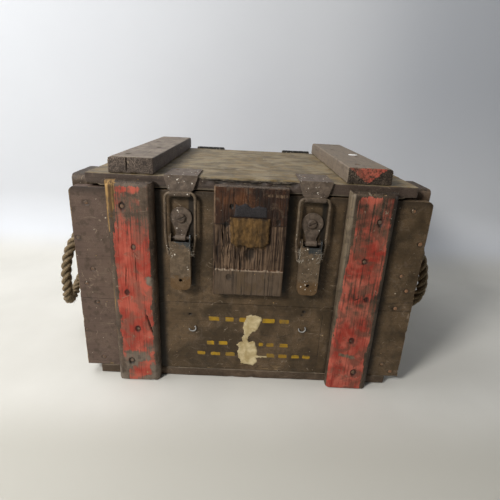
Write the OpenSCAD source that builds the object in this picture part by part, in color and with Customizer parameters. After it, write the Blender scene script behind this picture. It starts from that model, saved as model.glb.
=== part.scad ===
// Wooden shipping crate with a hinged lid, two toggle latches and rope handles.
// Millimetres, +Z up. The origin is on the floor under the middle of the body;
// the latches face -Y and the hinges are at +Y.

/* [Body] */
// Outside width of the body along the front
crate_w = 406; // [390:1:430]
// Outside depth of the body, front boards to back boards
crate_d = 281; // [265:1:300]
// Height of the top edge of the front and back boards
panel_top = 246.5; // [244:0.5:248]
// Height of the seam between the lower and upper front boards
seam_z = 108.5; // [100:0.5:118]
// Thickness of the wall boards
board_t = 12.5; // [11:0.5:13]
// Thickness of the floor boards
floor_t = 12; // [10:0.5:13]
// Gap between boards that lie edge to edge
seam_gap = 0.6; // [0.2:0.1:1.5]

/* [Battens and posts] */
// Width of the upright battens on the front and back
batten_w = 52.6; // [45:0.2:56]
// Thickness of the upright battens
batten_t = 13.2; // [10:0.2:16]
// Height of the top end of the upright battens
batten_top = 256.5; // [250:0.5:258]
// Distance from the middle of the crate to the middle of an upright batten
batten_x = 132.8; // [130:0.2:140]
// Bevel on the long edges and the top end of the upright battens
batten_bevel = 5.8; // [2:0.2:6.4]
// Thickness of the corner posts on the ends
post_t = 18.5; // [14:0.5:22]
// Width of the corner posts
post_w = 62.5; // [50:0.5:70]
// Height of the top end of the corner posts
post_top = 258; // [250:1:262]

/* [Lid] */
// Length of the lid boards
lid_w = 367; // [350:1:367]
// Height of the underside of the lid
lid_z = 249.3; // [249:0.1:250]
// Thickness of the lid boards
lid_t = 12.5; // [11:0.5:13]
// Width of the narrow lid board at the front
lid_front_w = 61.5; // [50:0.5:90]
// Width of the lid battens
lid_batten_w = 50; // [40:0.5:52]
// Thickness of the lid battens
lid_batten_t = 18.4; // [12:0.2:19]

/* [Seal block] */
// Width of the block in the middle of the front
block_w = 81.5; // [60:0.5:84]
// Thickness of the block
block_t = 12; // [8:0.5:12.5]
// Height of the lower end of the block
block_bottom = 127; // [115:1:150]

/* [Latches] */
// Distance from the middle of the crate to the left latch
latch_left_x = -78; // [-80:0.5:-76]
// Distance from the middle of the crate to the right latch
latch_right_x = 70; // [68:0.5:74]
// Width of the latch lever
lever_w = 23.5; // [22:0.5:25]
// Diameter of the bail wire
wire_d = 3.5; // [3:0.1:3.6]
// Diameter of the seal hole in the lever
seal_hole_d = 4; // [3:0.5:6]

/* [Hinges] */
// Width of each hinge
hinge_w = 46; // [40:1:48]
// Distance from the middle of the crate to the left hinge
hinge_left_x = -73.5; // [-78:0.5:-68]
// Distance from the middle of the crate to the right hinge
hinge_right_x = 75.5; // [68:0.5:78]

/* [Rope handles] */
// Diameter of the rope
rope_d = 14; // [12:0.5:15]
// Height of the rope holes
rope_z = 178; // [170:1:190]
// Distance of each rope hole from the middle of the end
rope_y = 46; // [40:1:50]

/* [Hidden] */
$fn = 48;
wood = [0.36, 0.30, 0.25];
wood_dark = [0.30, 0.25, 0.20];
bare_wood = [0.55, 0.50, 0.42];
red_paint = [0.62, 0.27, 0.22];
steel = [0.42, 0.43, 0.44];
rust = [0.40, 0.24, 0.16];
hemp = [0.48, 0.40, 0.29];
paper = [0.90, 0.88, 0.80];

front_y = -crate_d / 2;
back_y = crate_d / 2;
half_w = crate_w / 2;
post_x = half_w - post_t;
end_x = post_x - board_t;
inner_y = back_y - board_t;
floor_half_w = post_x + 1.5;
edge_bevel = 0.8;
end_seam_z = 130;
rear_seam_z = 118;
rope_hole_d = rope_d + 2;

lid_top = lid_z + lid_t;
lid_front_y = front_y + 1;
lid_batten_left_x = -132.8;
lid_batten_right_x = 128;

block_top = 256;
tab_w = 45;
tab_z = 190;
tab_top = 222;
tab_t = 3.2;
tape_w = 36;
tape_top = 238;
tape_t = 0.8;
label_t = 0.35;
sticker_t = 0.3;
sticker_r = 6;
sticker_at = [8, -20];

plate_t = 2;
sheet_t = 1.5;
latch_x = [latch_left_x, latch_right_x];
pin_y = front_y - 7;
pin_z = 194;
pin_d = 3.5;
run_gap = 0.05;
disc_d = 24.5;
disc_z = 216;
knuckle_w = 12;
knuckle_r = 3.5;
lever_front = front_y - 12;
lever_back = front_y - 3;
lever_bottom = 131;
lever_corner = 7;
lever_face_top = 190.5;
ear_r = 5;
seal_hole_z = 143.2;
bail_y = front_y - 6.5;
bail_z = 173;
bar_y = front_y - 5.6;
bar_z = 244.6;
bail_half_w = 16.7;
bail_end_x = 9.6;
bail_corner = 6;
bail_taper_h = 21;
bail_taper = 7.6;
bend_out_r = 8;
bend_in_r = 2.2;
wire_lap = 0.3;
hook_in = 2.1;
hook_t = 1.6;
hook_w = 23;
hook_lip = 1.2;
keeper_w = 37;
keeper_low_w = 28;
keeper_reach = 47;

hinge_y = back_y + 3.5;
hinge_z = lid_top;
barrel_r = 3;
hinge_pin_d = 2.5;
knuckles = 5;
knuckle_gap = 0.4;
screw_step = 15;
leaf_low = 215;
plate_top = hinge_z - 3.8;

nail_r = 2.6;
nail_h = 0.6;
ball_r = 14;
ball_cut = 9;
knot_gap = 0.5;
rope_sides = 10;

// Nail heads on the left upright batten, as [x, z]
left_batten_nails = [[-140, 229], [-130, 182], [-141, 125], [-131, 76], [-141, 29]];
// Nail heads on the right upright batten
right_batten_nails = [[142, 224], [132, 177], [141, 129], [131, 72], [140, 25]];
// Nail heads near the left edge of the front boards
left_edge_nails = [[-184, 228], [-197, 186], [-184, 147], [-193, 128], [-182, 103], [-199, 63], [-181, 23]];
// Nail heads near the right edge of the front boards
right_edge_nails = [[182, 235], [197, 196], [183, 155], [192, 136], [183, 112], [180, 30], [192, 19]];
// Nail heads on the left keeper and on the right keeper, as [x, distance from the front]
keeper_nail_spots = [[-10, 35], [13, 19], [-10, 30], [11, 21]];

// Middle line of the left rope, from the front hole down, round and up to the back hole
left_route = [
    [-184.5, -46, 178], [-191, -46, 178], [-202, -47.5, 177.5], [-214, -50.5, 174.5], [-228, -56, 167],
    [-240, -62, 152], [-247, -68, 133], [-250, -72, 113], [-251, -73, 93], [-253, -70, 76],
    [-257, -61, 63], [-261, -46, 56], [-264, -28, 56], [-266, -9, 61], [-265, 9, 71],
    [-261, 24, 85], [-254, 35, 101], [-245, 42, 119], [-234, 46, 138], [-222, 47, 155.5],
    [-209, 46.5, 169.5], [-197, 46, 176.5], [-190, 46, 178], [-184.5, 46, 178]
];
// Middle line of the right rope, from the front hole to the back hole
right_route = [
    [184.5, -46, 178], [191, -46, 178], [204, -47.5, 177.5], [218, -50.5, 173.5], [232, -55, 163],
    [241, -60, 146], [245, -64, 126], [246, -65, 106], [244, -60, 88], [241, -48, 75],
    [238, -30, 67], [237, -10, 64], [237, 10, 64], [238, 30, 67], [241, 48, 75],
    [244, 60, 88], [246, 65, 106], [245, 64, 126], [241, 60, 146], [232, 55, 163],
    [218, 50.5, 173.5], [204, 47.5, 177.5], [191, 46, 178], [184.5, 46, 178]
];

// ---- shapes that repeat ----

// Corners of a rectangle whose four corners are cut off by c
function bevelled(a0, a1, b0, b1, c) = [
    [a0 + c, b0], [a1 - c, b0], [a1, b0 + c], [a1, b1 - c],
    [a1 - c, b1], [a0 + c, b1], [a0, b1 - c], [a0, b0 + c]
];

// Extrudes an outline given in y and z from x0 to x1
module along_x(x0, x1) {
    translate([x0, 0, 0]) rotate([90, 0, 90]) linear_extrude(x1 - x0) children();
}

// Extrudes an outline given in x and z from y0 to y1
module along_y(y0, y1) {
    translate([0, y1, 0]) rotate([90, 0, 0]) linear_extrude(y1 - y0) children();
}

// Board whose grain runs along x
module board_x(x0, x1, y0, y1, z0, z1) {
    along_x(x0, x1) polygon(bevelled(y0, y1, z0, z1, edge_bevel));
}

// Board whose grain runs along y
module board_y(x0, x1, y0, y1, z0, z1) {
    along_y(y0, y1) polygon(bevelled(x0, x1, z0, z1, edge_bevel));
}

// Cylinder along x through a point given in y and z
module rod_x(x0, x1, y, z, r) {
    translate([x0, y, z]) rotate([0, 90, 0]) cylinder(h = x1 - x0, r = r);
}

// Low nail head on a face whose outward direction is +z before turning
module nail_head() {
    cylinder(h = nail_h / 2, r = nail_r);
    translate([0, 0, nail_h / 2]) cylinder(h = nail_h / 2, r1 = nail_r, r2 = nail_r - 0.5);
}

// Nail head on a front-facing plane
module front_nail(x, y, z) {
    translate([x, y, z]) rotate([90, 0, 0]) nail_head();
}

// Nail head on a back-facing plane
module rear_nail(x, y, z) {
    translate([x, y, z]) rotate([-90, 0, 0]) nail_head();
}

// ---- body ----

module floor_board(i) {
    w = (crate_d - 2 * seam_gap) / 3;
    y0 = front_y + i * (w + seam_gap);
    color(wood_dark) board_x(-floor_half_w, floor_half_w, y0, y0 + w, 0, floor_t);
}

module floor_board_front() { floor_board(0); }
module floor_board_middle() { floor_board(1); }
module floor_board_rear() { floor_board(2); }

module wall_board(y0, z0, z1) {
    color(wood) board_x(-half_w, half_w, y0, y0 + board_t, z0, z1);
}

module front_board_lower() { wall_board(front_y, floor_t, seam_z - seam_gap / 2); }
module front_board_upper() { wall_board(front_y, seam_z + seam_gap / 2, panel_top); }
module rear_board_lower() { wall_board(inner_y, floor_t, rear_seam_z - seam_gap / 2); }
module rear_board_upper() { wall_board(inner_y, rear_seam_z + seam_gap / 2, panel_top); }

// Board across an end, side is -1 on the left and 1 on the right
module end_board(side, z0, z1) {
    x0 = side < 0 ? -post_x : end_x;
    color(wood) board_y(x0, x0 + board_t, -inner_y, inner_y, z0, z1);
}

// Upper end board with the two holes that the rope passes through
module end_board_with_holes(side) {
    difference() {
        end_board(side, end_seam_z + seam_gap / 2, lid_z);
        for (y = [-rope_y, rope_y])
            color(wood) rod_x(side * (end_x + board_t / 2) - board_t, side * (end_x + board_t / 2) + board_t,
                y, rope_z, rope_hole_d / 2);
    }
}

module end_board_left_lower() { end_board(-1, floor_t, end_seam_z - seam_gap / 2); }
module end_board_right_lower() { end_board(1, floor_t, end_seam_z - seam_gap / 2); }
module end_board_left_upper() { end_board_with_holes(-1); }
module end_board_right_upper() { end_board_with_holes(1); }

// Corner post on the outside of an end board, with a rounded top end
module post(side, y0) {
    round_r = 9;
    lap = 1;
    x0 = side < 0 ? -half_w : post_x;
    color(wood) along_x(x0, x0 + post_t) {
        translate([y0, floor_t]) square([post_w, post_top - floor_t - round_r]);
        translate([y0 + round_r, post_top - round_r - lap]) square([post_w - 2 * round_r, round_r + lap]);
        for (y = [y0 + round_r, y0 + post_w - round_r])
            translate([y, post_top - round_r]) circle(round_r);
    }
}

module post_left_front() { post(-1, -inner_y); }
module post_left_rear() { post(-1, inner_y - post_w); }
module post_right_front() { post(1, -inner_y); }
module post_right_rear() { post(1, inner_y - post_w); }

// Upright batten on the front; the rear ones are its mirror image
module upright_batten(x) {
    y0 = front_y - batten_t;
    c = batten_bevel;
    color(red_paint) intersection() {
        linear_extrude(batten_top) polygon([
            [x - batten_w / 2, front_y], [x - batten_w / 2, y0 + c], [x - batten_w / 2 + c, y0],
            [x + batten_w / 2 - c, y0], [x + batten_w / 2, y0 + c], [x + batten_w / 2, front_y]
        ]);
        along_x(x - batten_w, x + batten_w) polygon([
            [front_y, 0], [y0 + 2, 0], [y0, 2], [y0, batten_top - c], [y0 + c, batten_top], [front_y, batten_top]
        ]);
    }
}

module batten_front_left() { upright_batten(-batten_x); }
module batten_front_right() { upright_batten(batten_x); }
module batten_rear_left() { mirror([0, 1, 0]) upright_batten(-batten_x); }
module batten_rear_right() { mirror([0, 1, 0]) upright_batten(batten_x); }

// ---- pieces on the front ----

module seal_block() {
    color(bare_wood) translate([0, 0, block_bottom]) linear_extrude(block_top - block_bottom)
        polygon([
            [-block_w / 2, front_y], [-block_w / 2, front_y - block_t + 1.5],
            [-block_w / 2 + 1.5, front_y - block_t], [block_w / 2 - 1.5, front_y - block_t],
            [block_w / 2, front_y - block_t + 1.5], [block_w / 2, front_y]
        ]);
}

// Worn tab on the block, with a ragged lower edge
module seal_tab() {
    color([0.52, 0.36, 0.20]) along_y(front_y - block_t - tab_t, front_y - block_t) polygon([
        [-tab_w / 2, tab_top], [-tab_w / 2 + 1, tab_z + 2], [-14, tab_z - 2], [-6, tab_z - 1],
        [0, tab_z - 4], [7, tab_z - 2], [15, tab_z - 3], [tab_w / 2 - 1, tab_z + 3], [tab_w / 2, tab_top]
    ]);
}

// Strip of dark tape left above the tab, torn along its top
module tape_remnant() {
    color([0.20, 0.20, 0.20]) along_y(front_y - block_t - tape_t, front_y - block_t) polygon([
        [-tape_w / 2, tab_top + 0.5], [tape_w / 2, tab_top + 0.5], [tape_w / 2 - 0.5, tape_top - 4],
        [8, tape_top - 2], [1, tape_top - 5], [-6, tape_top], [-13, tape_top - 3], [-tape_w / 2 + 1, tape_top - 1]
    ]);
}

// Torn piece of a paper label on the lower front board
module label_remnant() {
    color(paper) along_y(front_y - label_t, front_y) polygon([
        [-7, 95], [12, 96], [15, 88], [11, 79], [4, 71], [1, 62], [9, 55], [20, 50], [30, 44],
        [29, 38], [18, 36], [21, 29], [12, 22], [2, 24], [-1, 38], [-8, 47], [-6, 57], [-9, 70], [-7, 83]
    ]);
}

// Two short bent wires where an old seal was cut away
module wire_staples() {
    wire_r = 0.9;
    color(steel)
        for (spot = [[-66, 73, 190, 215], [71, 78, 170, 235]])
            translate([spot[0], front_y - wire_r - 0.05, spot[1]]) rotate([90, spot[2], 0])
                rotate_extrude(angle = spot[3]) translate([4.2, 0]) circle(wire_r, $fn = 24);
}

// ---- nails ----

module batten_nails_front() {
    color(rust)
        for (p = concat(left_batten_nails, right_batten_nails))
            front_nail(p[0], front_y - batten_t, p[1]);
}

module edge_nails_front() {
    color(rust)
        for (p = concat(left_edge_nails, right_edge_nails))
            front_nail(p[0], front_y, p[1]);
}

module nails_rear() {
    color(rust) {
        for (p = concat(left_batten_nails, right_batten_nails))
            rear_nail(p[0], back_y + batten_t, p[1]);
        for (p = concat(left_edge_nails, right_edge_nails))
            rear_nail(p[0], back_y, p[1]);
    }
}

// Two nails at each of four heights on every corner post
module nails_ends() {
    first_z = 38;
    row_step = 62;
    edge_in = 18;
    pair_step = [26, 9];
    color(rust)
        for (side = [-1, 1], row = [0:3], y = [-1, 1], col = [0, 1])
            translate([
                side * half_w, y * (inner_y - edge_in - pair_step[0] * col),
                first_z + row_step * row + pair_step[1] * col
            ]) rotate([0, 90 * side, 0]) nail_head();
}

// ---- lid ----

module lid_board_front() {
    color(wood) board_x(-lid_w / 2, lid_w / 2, lid_front_y, lid_front_y + lid_front_w, lid_z, lid_top);
}

module lid_board_rear() {
    color(wood) board_x(-lid_w / 2, lid_w / 2, lid_front_y + lid_front_w + seam_gap, back_y, lid_z, lid_top);
}

module lid_batten(x) {
    c = 1.5;
    z1 = lid_top + lid_batten_t;
    color(bare_wood) along_y(lid_front_y + 0.6, back_y - 0.2) polygon([
        [x - lid_batten_w / 2, lid_top], [x + lid_batten_w / 2, lid_top], [x + lid_batten_w / 2, z1 - c],
        [x + lid_batten_w / 2 - c, z1], [x - lid_batten_w / 2 + c, z1], [x - lid_batten_w / 2, z1 - c]
    ]);
}

module lid_batten_left() { lid_batten(lid_batten_left_x); }
module lid_batten_right() { lid_batten(lid_batten_right_x); }

// Four nails along each lid batten, to the left and right of its middle in turn
module lid_nails() {
    first_y = -112;
    step = 75;
    off_x = 9;
    color(rust)
        for (x = [lid_batten_left_x, lid_batten_right_x], i = [0:3])
            translate([x + (i % 2 == 0 ? -off_x : off_x), first_y + step * i, lid_top + lid_batten_t])
                nail_head();
}

// Small round sticker on the right lid batten
module sticker() {
    color("white") translate([lid_batten_right_x + sticker_at[0], sticker_at[1], lid_top + lid_batten_t])
        cylinder(h = sticker_t, r = sticker_r);
}

// ---- latches ----

// Sheet-metal keeper: flange on the lid, face down the front edge, and a hook at its foot
module keeper(x) {
    face_y = bar_y + hook_in;
    side = [
        [lid_front_y - 1 + keeper_reach, lid_top], [lid_front_y - 1 + keeper_reach, lid_top + sheet_t],
        [lid_front_y - 1.6, lid_top + sheet_t], [face_y, bar_z], [face_y + hook_t, bar_z],
        [lid_front_y - 0.1, lid_top]
    ];
    color(steel) union() {
        intersection() {
            along_x(x - keeper_w, x + keeper_w) polygon(side);
            along_y(lid_front_y - 20, lid_front_y + keeper_reach + 5) polygon([
                [x - keeper_w / 2, lid_top + 5], [x - keeper_w / 2, lid_top - 1],
                [x - keeper_low_w / 2, bar_z + 3], [x - hook_w / 2, bar_z + 1.5], [x - hook_w / 2, bar_z - 1],
                [x + hook_w / 2, bar_z - 1], [x + hook_w / 2, bar_z + 1.5], [x + keeper_low_w / 2, bar_z + 3],
                [x + keeper_w / 2, lid_top - 1], [x + keeper_w / 2, lid_top + 5]
            ]);
        }
        along_x(x - hook_w / 2, x + hook_w / 2) {
            difference() {
                translate([bar_y, bar_z]) circle(hook_in + hook_t);
                translate([bar_y, bar_z]) circle(hook_in);
                translate([bar_y - 10, bar_z]) square([20, 10]);
            }
            translate([bar_y - hook_in - hook_t, bar_z]) square([hook_t, hook_lip]);
        }
    }
}

module keeper_left() { keeper(latch_left_x); }
module keeper_right() { keeper(latch_right_x); }

module keeper_nails() {
    color(rust)
        for (side = [0, 1], i = [0, 1])
            translate([latch_x[side] + keeper_nail_spots[2 * side + i][0],
                front_y + keeper_nail_spots[2 * side + i][1], lid_top + sheet_t]) nail_head();
}

// Teardrop plate on the front board with the knuckle that carries the lever
module latch_base(x) {
    neck = knuckle_w / 2;
    shoulder = 10.5;
    root_low = 3;
    root_h = 5.5;
    color(steel) difference() {
        union() {
            along_y(front_y - plate_t, front_y) translate([x, 0]) {
                translate([0, disc_z]) circle(disc_d / 2);
                polygon([
                    [-neck, pin_z - 4], [neck, pin_z - 4], [neck, pin_z + 4],
                    [shoulder, disc_z - 5], [-shoulder, disc_z - 5], [-neck, pin_z + 4]
                ]);
            }
            translate([x - neck, pin_y, pin_z - root_low])
                cube([knuckle_w, front_y - pin_y - plate_t / 2, root_h]);
            rod_x(x - neck, x + neck, pin_y, pin_z, knuckle_r);
        }
        rod_x(x - knuckle_w, x + knuckle_w, pin_y, pin_z, pin_d / 2 + run_gap);
    }
}

module latch_base_left() { latch_base(latch_left_x); }
module latch_base_right() { latch_base(latch_right_x); }

// Slotted round-head screw in the middle of each latch plate
module latch_screws() {
    head_r = 5.75;
    head_top_r = 4.2;
    rim_h = 1;
    crown_h = 1.3;
    slot_w = 1.2;
    slot_z = 1.3;
    slot_turn = 25;
    color(rust)
        for (x = latch_x) translate([x, front_y - plate_t, disc_z - 0.5]) rotate([90, 0, 0])
            difference() {
                union() {
                    cylinder(h = rim_h, r = head_r);
                    translate([0, 0, rim_h]) cylinder(h = crown_h, r1 = head_r, r2 = head_top_r);
                }
                rotate(slot_turn) translate([-head_r - 1, -slot_w / 2, slot_z])
                    cube([2 * head_r + 2, slot_w, crown_h]);
            }
}

// Outline of the lever seen from the front, inset by d
module lever_outline(d, top) {
    r = lever_corner - d;
    x = lever_w / 2 - lever_corner;
    z = lever_bottom + lever_corner;
    translate([-lever_w / 2 + d, z]) square([lever_w - 2 * d, top - z]);
    translate([-x, lever_bottom + d]) square([2 * x, lever_corner]);
    for (side = [-x, x]) translate([side, z]) circle(r);
}

// Hollow lever: front face, side flanges with ears for the pin, holes for the bail and a seal
module lever(x) {
    color(steel) difference() {
        union() {
            difference() {
                along_y(lever_front, lever_back) translate([x, 0]) lever_outline(0, lever_face_top);
                along_y(lever_front + sheet_t, lever_back + 1) translate([x, 0])
                    lever_outline(sheet_t, lever_face_top + 1);
            }
            for (side = [-lever_w / 2, lever_w / 2 - sheet_t])
                along_x(x + side, x + side + sheet_t) {
                    translate([lever_front, lever_face_top - 2])
                        square([lever_back - lever_front, pin_z - lever_face_top + 2]);
                    translate([pin_y, pin_z]) circle(ear_r);
                }
        }
        rod_x(x - lever_w, x + lever_w, pin_y, pin_z, pin_d / 2 + run_gap);
        rod_x(x - lever_w, x + lever_w, bail_y, bail_z, wire_d / 2 + 0.1);
        along_y(lever_front - 1, lever_front + 3) translate([x, seal_hole_z]) circle(d = seal_hole_d);
    }
}

module lever_left() { lever(latch_left_x); }
module lever_right() { lever(latch_right_x); }

// Rivet that the lever turns on
module lever_pin(x) {
    reach = lever_w / 2 + 0.1;
    head_h = 1.1;
    head_r = 2.8;
    color(rust) {
        rod_x(x - reach - head_h, x + reach + head_h, pin_y, pin_z, pin_d / 2);
        rod_x(x - reach - head_h, x - reach, pin_y, pin_z, head_r);
        rod_x(x + reach, x + reach + head_h, pin_y, pin_z, head_r);
    }
}

module lever_pin_left() { lever_pin(latch_left_x); }
module lever_pin_right() { lever_pin(latch_right_x); }

// Straight wire of length h that laps into the bends; what follows starts at its end
module wire_run(h) {
    translate([0, 0, -wire_lap]) cylinder(h = h + 2 * wire_lap, r = wire_d / 2);
    translate([0, 0, h]) children();
}

// Wire turned towards +x by an angle, a little thicker; what follows starts at its end
module wire_bend(angle, bend_r) {
    translate([bend_r, 0, 0]) rotate([90, 0, 0]) rotate([0, 0, 180 - angle])
        rotate_extrude(angle = angle) translate([bend_r, 0]) circle(wire_d / 2 + 0.1);
    translate([bend_r * (1 - cos(angle)), 0, bend_r * sin(angle)]) rotate([0, angle, 0]) children();
}

// Wire bail from the lever up round the hook, drawn upright and leant to the bar
module bail(x) {
    bar_half = bail_half_w - bail_corner;
    rise = norm([bar_y - bail_y, bar_z - bail_z]);
    lean = atan2(bail_y - bar_y, bar_z - bail_z);
    arm = rise - bail_corner - bail_taper_h;
    taper = (bail_taper_h - bend_out_r * sin(bail_taper) - bend_in_r * (1 - sin(bail_taper))) / cos(bail_taper);
    foot_x = bail_half_w - bend_out_r * (1 - cos(bail_taper)) - taper * sin(bail_taper)
        - bend_in_r * cos(bail_taper);
    color(steel) translate([x, bail_y, bail_z]) rotate([lean, 0, 0]) {
        rod_x(-bar_half - wire_lap, bar_half + wire_lap, 0, rise, wire_d / 2);
        for (side = [0, 1]) mirror([side, 0, 0])
            translate([bar_half, 0, rise]) rotate([0, 90, 0])
                wire_bend(90, bail_corner) wire_run(arm)
                wire_bend(bail_taper, bend_out_r) wire_run(taper)
                wire_bend(90 - bail_taper, bend_in_r) wire_run(foot_x - bail_end_x);
    }
}

module bail_left() { bail(latch_left_x); }
module bail_right() { bail(latch_right_x); }

// ---- hinges ----

// Knuckles of one leaf: first is 0 for the body leaf and 1 for the lid leaf
module hinge_knuckles(x, first, leaf_y) {
    pitch = hinge_w / knuckles;
    for (i = [first:2:knuckles - 1]) {
        x0 = x - hinge_w / 2 + i * pitch + knuckle_gap / 2;
        x1 = x0 + pitch - knuckle_gap;
        rod_x(x0, x1, hinge_y, hinge_z, barrel_r);
        translate([x0, leaf_y, plate_top - 0.5]) cube([x1 - x0, sheet_t, hinge_z - plate_top + 0.5]);
    }
}

// Leaf screwed to the back board; it steps out to pass behind the lid leaf
module hinge_leaf_body(x) {
    out_y = hinge_y - sheet_t;
    color(steel) difference() {
        union() {
            along_x(x - hinge_w / 2, x + hinge_w / 2) polygon([
                [back_y, leaf_low], [back_y + sheet_t, leaf_low], [back_y + sheet_t, panel_top - 1],
                [hinge_y, panel_top + 1.8], [hinge_y, plate_top], [out_y, plate_top],
                [out_y, panel_top + 2.3], [back_y, panel_top - 0.5]
            ]);
            hinge_knuckles(x, 0, out_y);
        }
        rod_x(x - hinge_w, x + hinge_w, hinge_y, hinge_z, hinge_pin_d / 2 + run_gap);
    }
}

// Leaf fixed to the rear edge of the lid
module hinge_leaf_lid(x) {
    color(steel) difference() {
        union() {
            translate([x - hinge_w / 2, back_y, lid_z + 1.5])
                cube([hinge_w, sheet_t, plate_top - lid_z - 1.5]);
            hinge_knuckles(x, 1, back_y);
        }
        rod_x(x - hinge_w, x + hinge_w, hinge_y, hinge_z, hinge_pin_d / 2 + run_gap);
    }
}

module hinge_leaf_body_left() { hinge_leaf_body(hinge_left_x); }
module hinge_leaf_body_right() { hinge_leaf_body(hinge_right_x); }
module hinge_leaf_lid_left() { hinge_leaf_lid(hinge_left_x); }
module hinge_leaf_lid_right() { hinge_leaf_lid(hinge_right_x); }

module hinge_pin(x) {
    reach = hinge_w / 2 + 0.2;
    head_h = 0.8;
    head_r = 2;
    color(rust) {
        rod_x(x - reach - head_h, x + reach + head_h, hinge_y, hinge_z, hinge_pin_d / 2);
        rod_x(x - reach - head_h, x - reach, hinge_y, hinge_z, head_r);
        rod_x(x + reach, x + reach + head_h, hinge_y, hinge_z, head_r);
    }
}

module hinge_pin_left() { hinge_pin(hinge_left_x); }
module hinge_pin_right() { hinge_pin(hinge_right_x); }

// Three slotted screws in each body leaf, the middle one lower
module hinge_screws_body() {
    row_z = 229;
    middle_drop = 7;
    head_h = 1.2;
    slot_w = 0.8;
    color(rust)
        for (x = [hinge_left_x, hinge_right_x], i = [-1:1])
            translate([x + screw_step * i, back_y + sheet_t, row_z - (i == 0 ? middle_drop : 0)])
                rotate([-90, 0, 0]) difference() {
                    cylinder(h = head_h, r1 = 3.6, r2 = 2.8);
                    rotate(30 * i) translate([-5, -slot_w / 2, head_h / 2]) cube([10, slot_w, head_h]);
                }
}

// Two nearly flush heads in each lid leaf, where the body leaf passes close behind
module hinge_screws_lid() {
    head_h = 0.25;
    up = 5;
    color(rust)
        for (x = [hinge_left_x, hinge_right_x], side = [-screw_step, screw_step])
            translate([x + side, back_y + sheet_t, lid_z + up]) rotate([-90, 0, 0])
                cylinder(h = head_h, r = 2.4);
}

// ---- rope handles ----

function unit(v) = v / norm(v);
function along(route, i) = unit(route[min(i + 1, len(route) - 1)] - route[max(i - 1, 0)]);
function square_to(v, t) = unit(v - (v * t) * t);

// Sideways directions that turn as little as they can from one ring to the next
function sideways(route) = [
    for (i = 0, n = square_to([0, 0, 1], along(route, 0)); i < len(route);
        i = i + 1, n = square_to(n, along(route, min(i, len(route) - 1)))) n
];

// Tube of the given diameter swept along a route
module tube(route, d) {
    n = sideways(route);
    last = len(route) - 1;
    s = rope_sides;
    points = [
        for (i = [0:last], k = [0:s - 1])
            let (t = along(route, i), a = 360 * k / s)
            route[i] + d / 2 * (cos(a) * n[i] + sin(a) * cross(t, n[i]))
    ];
    sides = [
        for (i = [0:last - 1], k = [0:s - 1])
            [i * s + k, i * s + (k + 1) % s, (i + 1) * s + (k + 1) % s, (i + 1) * s + k]
    ];
    start_cap = [for (k = [s - 1:-1:0]) k];
    end_cap = [for (k = [0:s - 1]) last * s + k];
    polyhedron(points, concat([start_cap], sides, [end_cap]), convexity = 6);
}

module rope_handle_left() { color(hemp) tube(left_route, rope_d); }
module rope_handle_right() { color(hemp) tube(right_route, rope_d); }

// Knots inside the end board, each turned in one piece with the stub that fills its hole
module rope_knots(side) {
    color(hemp)
        for (y = [-rope_y, rope_y])
            translate([side * (end_x - knot_gap), y, rope_z]) rotate([0, 90 * side, 0]) rotate_extrude() {
                square([rope_d / 2, board_t + knot_gap]);
                intersection() {
                    translate([0, -ball_cut]) circle(ball_r);
                    translate([0, -ball_cut - ball_r]) square([ball_r, ball_cut + ball_r]);
                }
            }
}

module rope_knots_left() { rope_knots(-1); }
module rope_knots_right() { rope_knots(1); }

floor_board_front();
floor_board_middle();
floor_board_rear();
front_board_lower();
front_board_upper();
rear_board_lower();
rear_board_upper();
end_board_left_lower();
end_board_left_upper();
end_board_right_lower();
end_board_right_upper();
post_left_front();
post_left_rear();
post_right_front();
post_right_rear();
batten_front_left();
batten_front_right();
batten_rear_left();
batten_rear_right();
seal_block();
seal_tab();
tape_remnant();
label_remnant();
wire_staples();
batten_nails_front();
edge_nails_front();
nails_rear();
nails_ends();
lid_board_front();
lid_board_rear();
lid_batten_left();
lid_batten_right();
lid_nails();
sticker();
keeper_left();
keeper_right();
keeper_nails();
latch_base_left();
latch_base_right();
latch_screws();
lever_left();
lever_right();
lever_pin_left();
lever_pin_right();
bail_left();
bail_right();
hinge_leaf_body_left();
hinge_leaf_body_right();
hinge_leaf_lid_left();
hinge_leaf_lid_right();
hinge_pin_left();
hinge_pin_right();
hinge_screws_body();
hinge_screws_lid();
rope_handle_left();
rope_handle_right();
rope_knots_left();
rope_knots_right();
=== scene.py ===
"""Looks of a wooden shipping crate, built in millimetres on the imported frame."""
import math
from itertools import product

import bmesh
import bpy
import numpy as np
from mathutils import Matrix, Vector
from mathutils.geometry import delaunay_2d_cdt


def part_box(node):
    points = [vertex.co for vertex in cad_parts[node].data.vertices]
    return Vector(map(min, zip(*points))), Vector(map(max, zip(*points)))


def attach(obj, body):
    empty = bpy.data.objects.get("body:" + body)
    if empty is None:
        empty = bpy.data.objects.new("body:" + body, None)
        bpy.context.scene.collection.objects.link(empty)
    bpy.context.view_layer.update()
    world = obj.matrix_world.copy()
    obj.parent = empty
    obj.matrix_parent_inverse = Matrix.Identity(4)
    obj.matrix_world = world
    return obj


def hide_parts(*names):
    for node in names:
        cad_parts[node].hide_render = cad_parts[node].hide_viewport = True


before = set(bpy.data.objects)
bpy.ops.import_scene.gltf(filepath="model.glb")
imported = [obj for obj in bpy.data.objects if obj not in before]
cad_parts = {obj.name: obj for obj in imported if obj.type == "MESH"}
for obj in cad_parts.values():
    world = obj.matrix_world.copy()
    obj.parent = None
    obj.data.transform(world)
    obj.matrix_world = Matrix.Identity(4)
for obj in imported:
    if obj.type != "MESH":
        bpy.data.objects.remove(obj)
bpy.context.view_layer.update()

MM = 0.001
X, Y, Z = 0, 1, 2
scene = bpy.context.scene


# ---- camera and light ----

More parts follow.
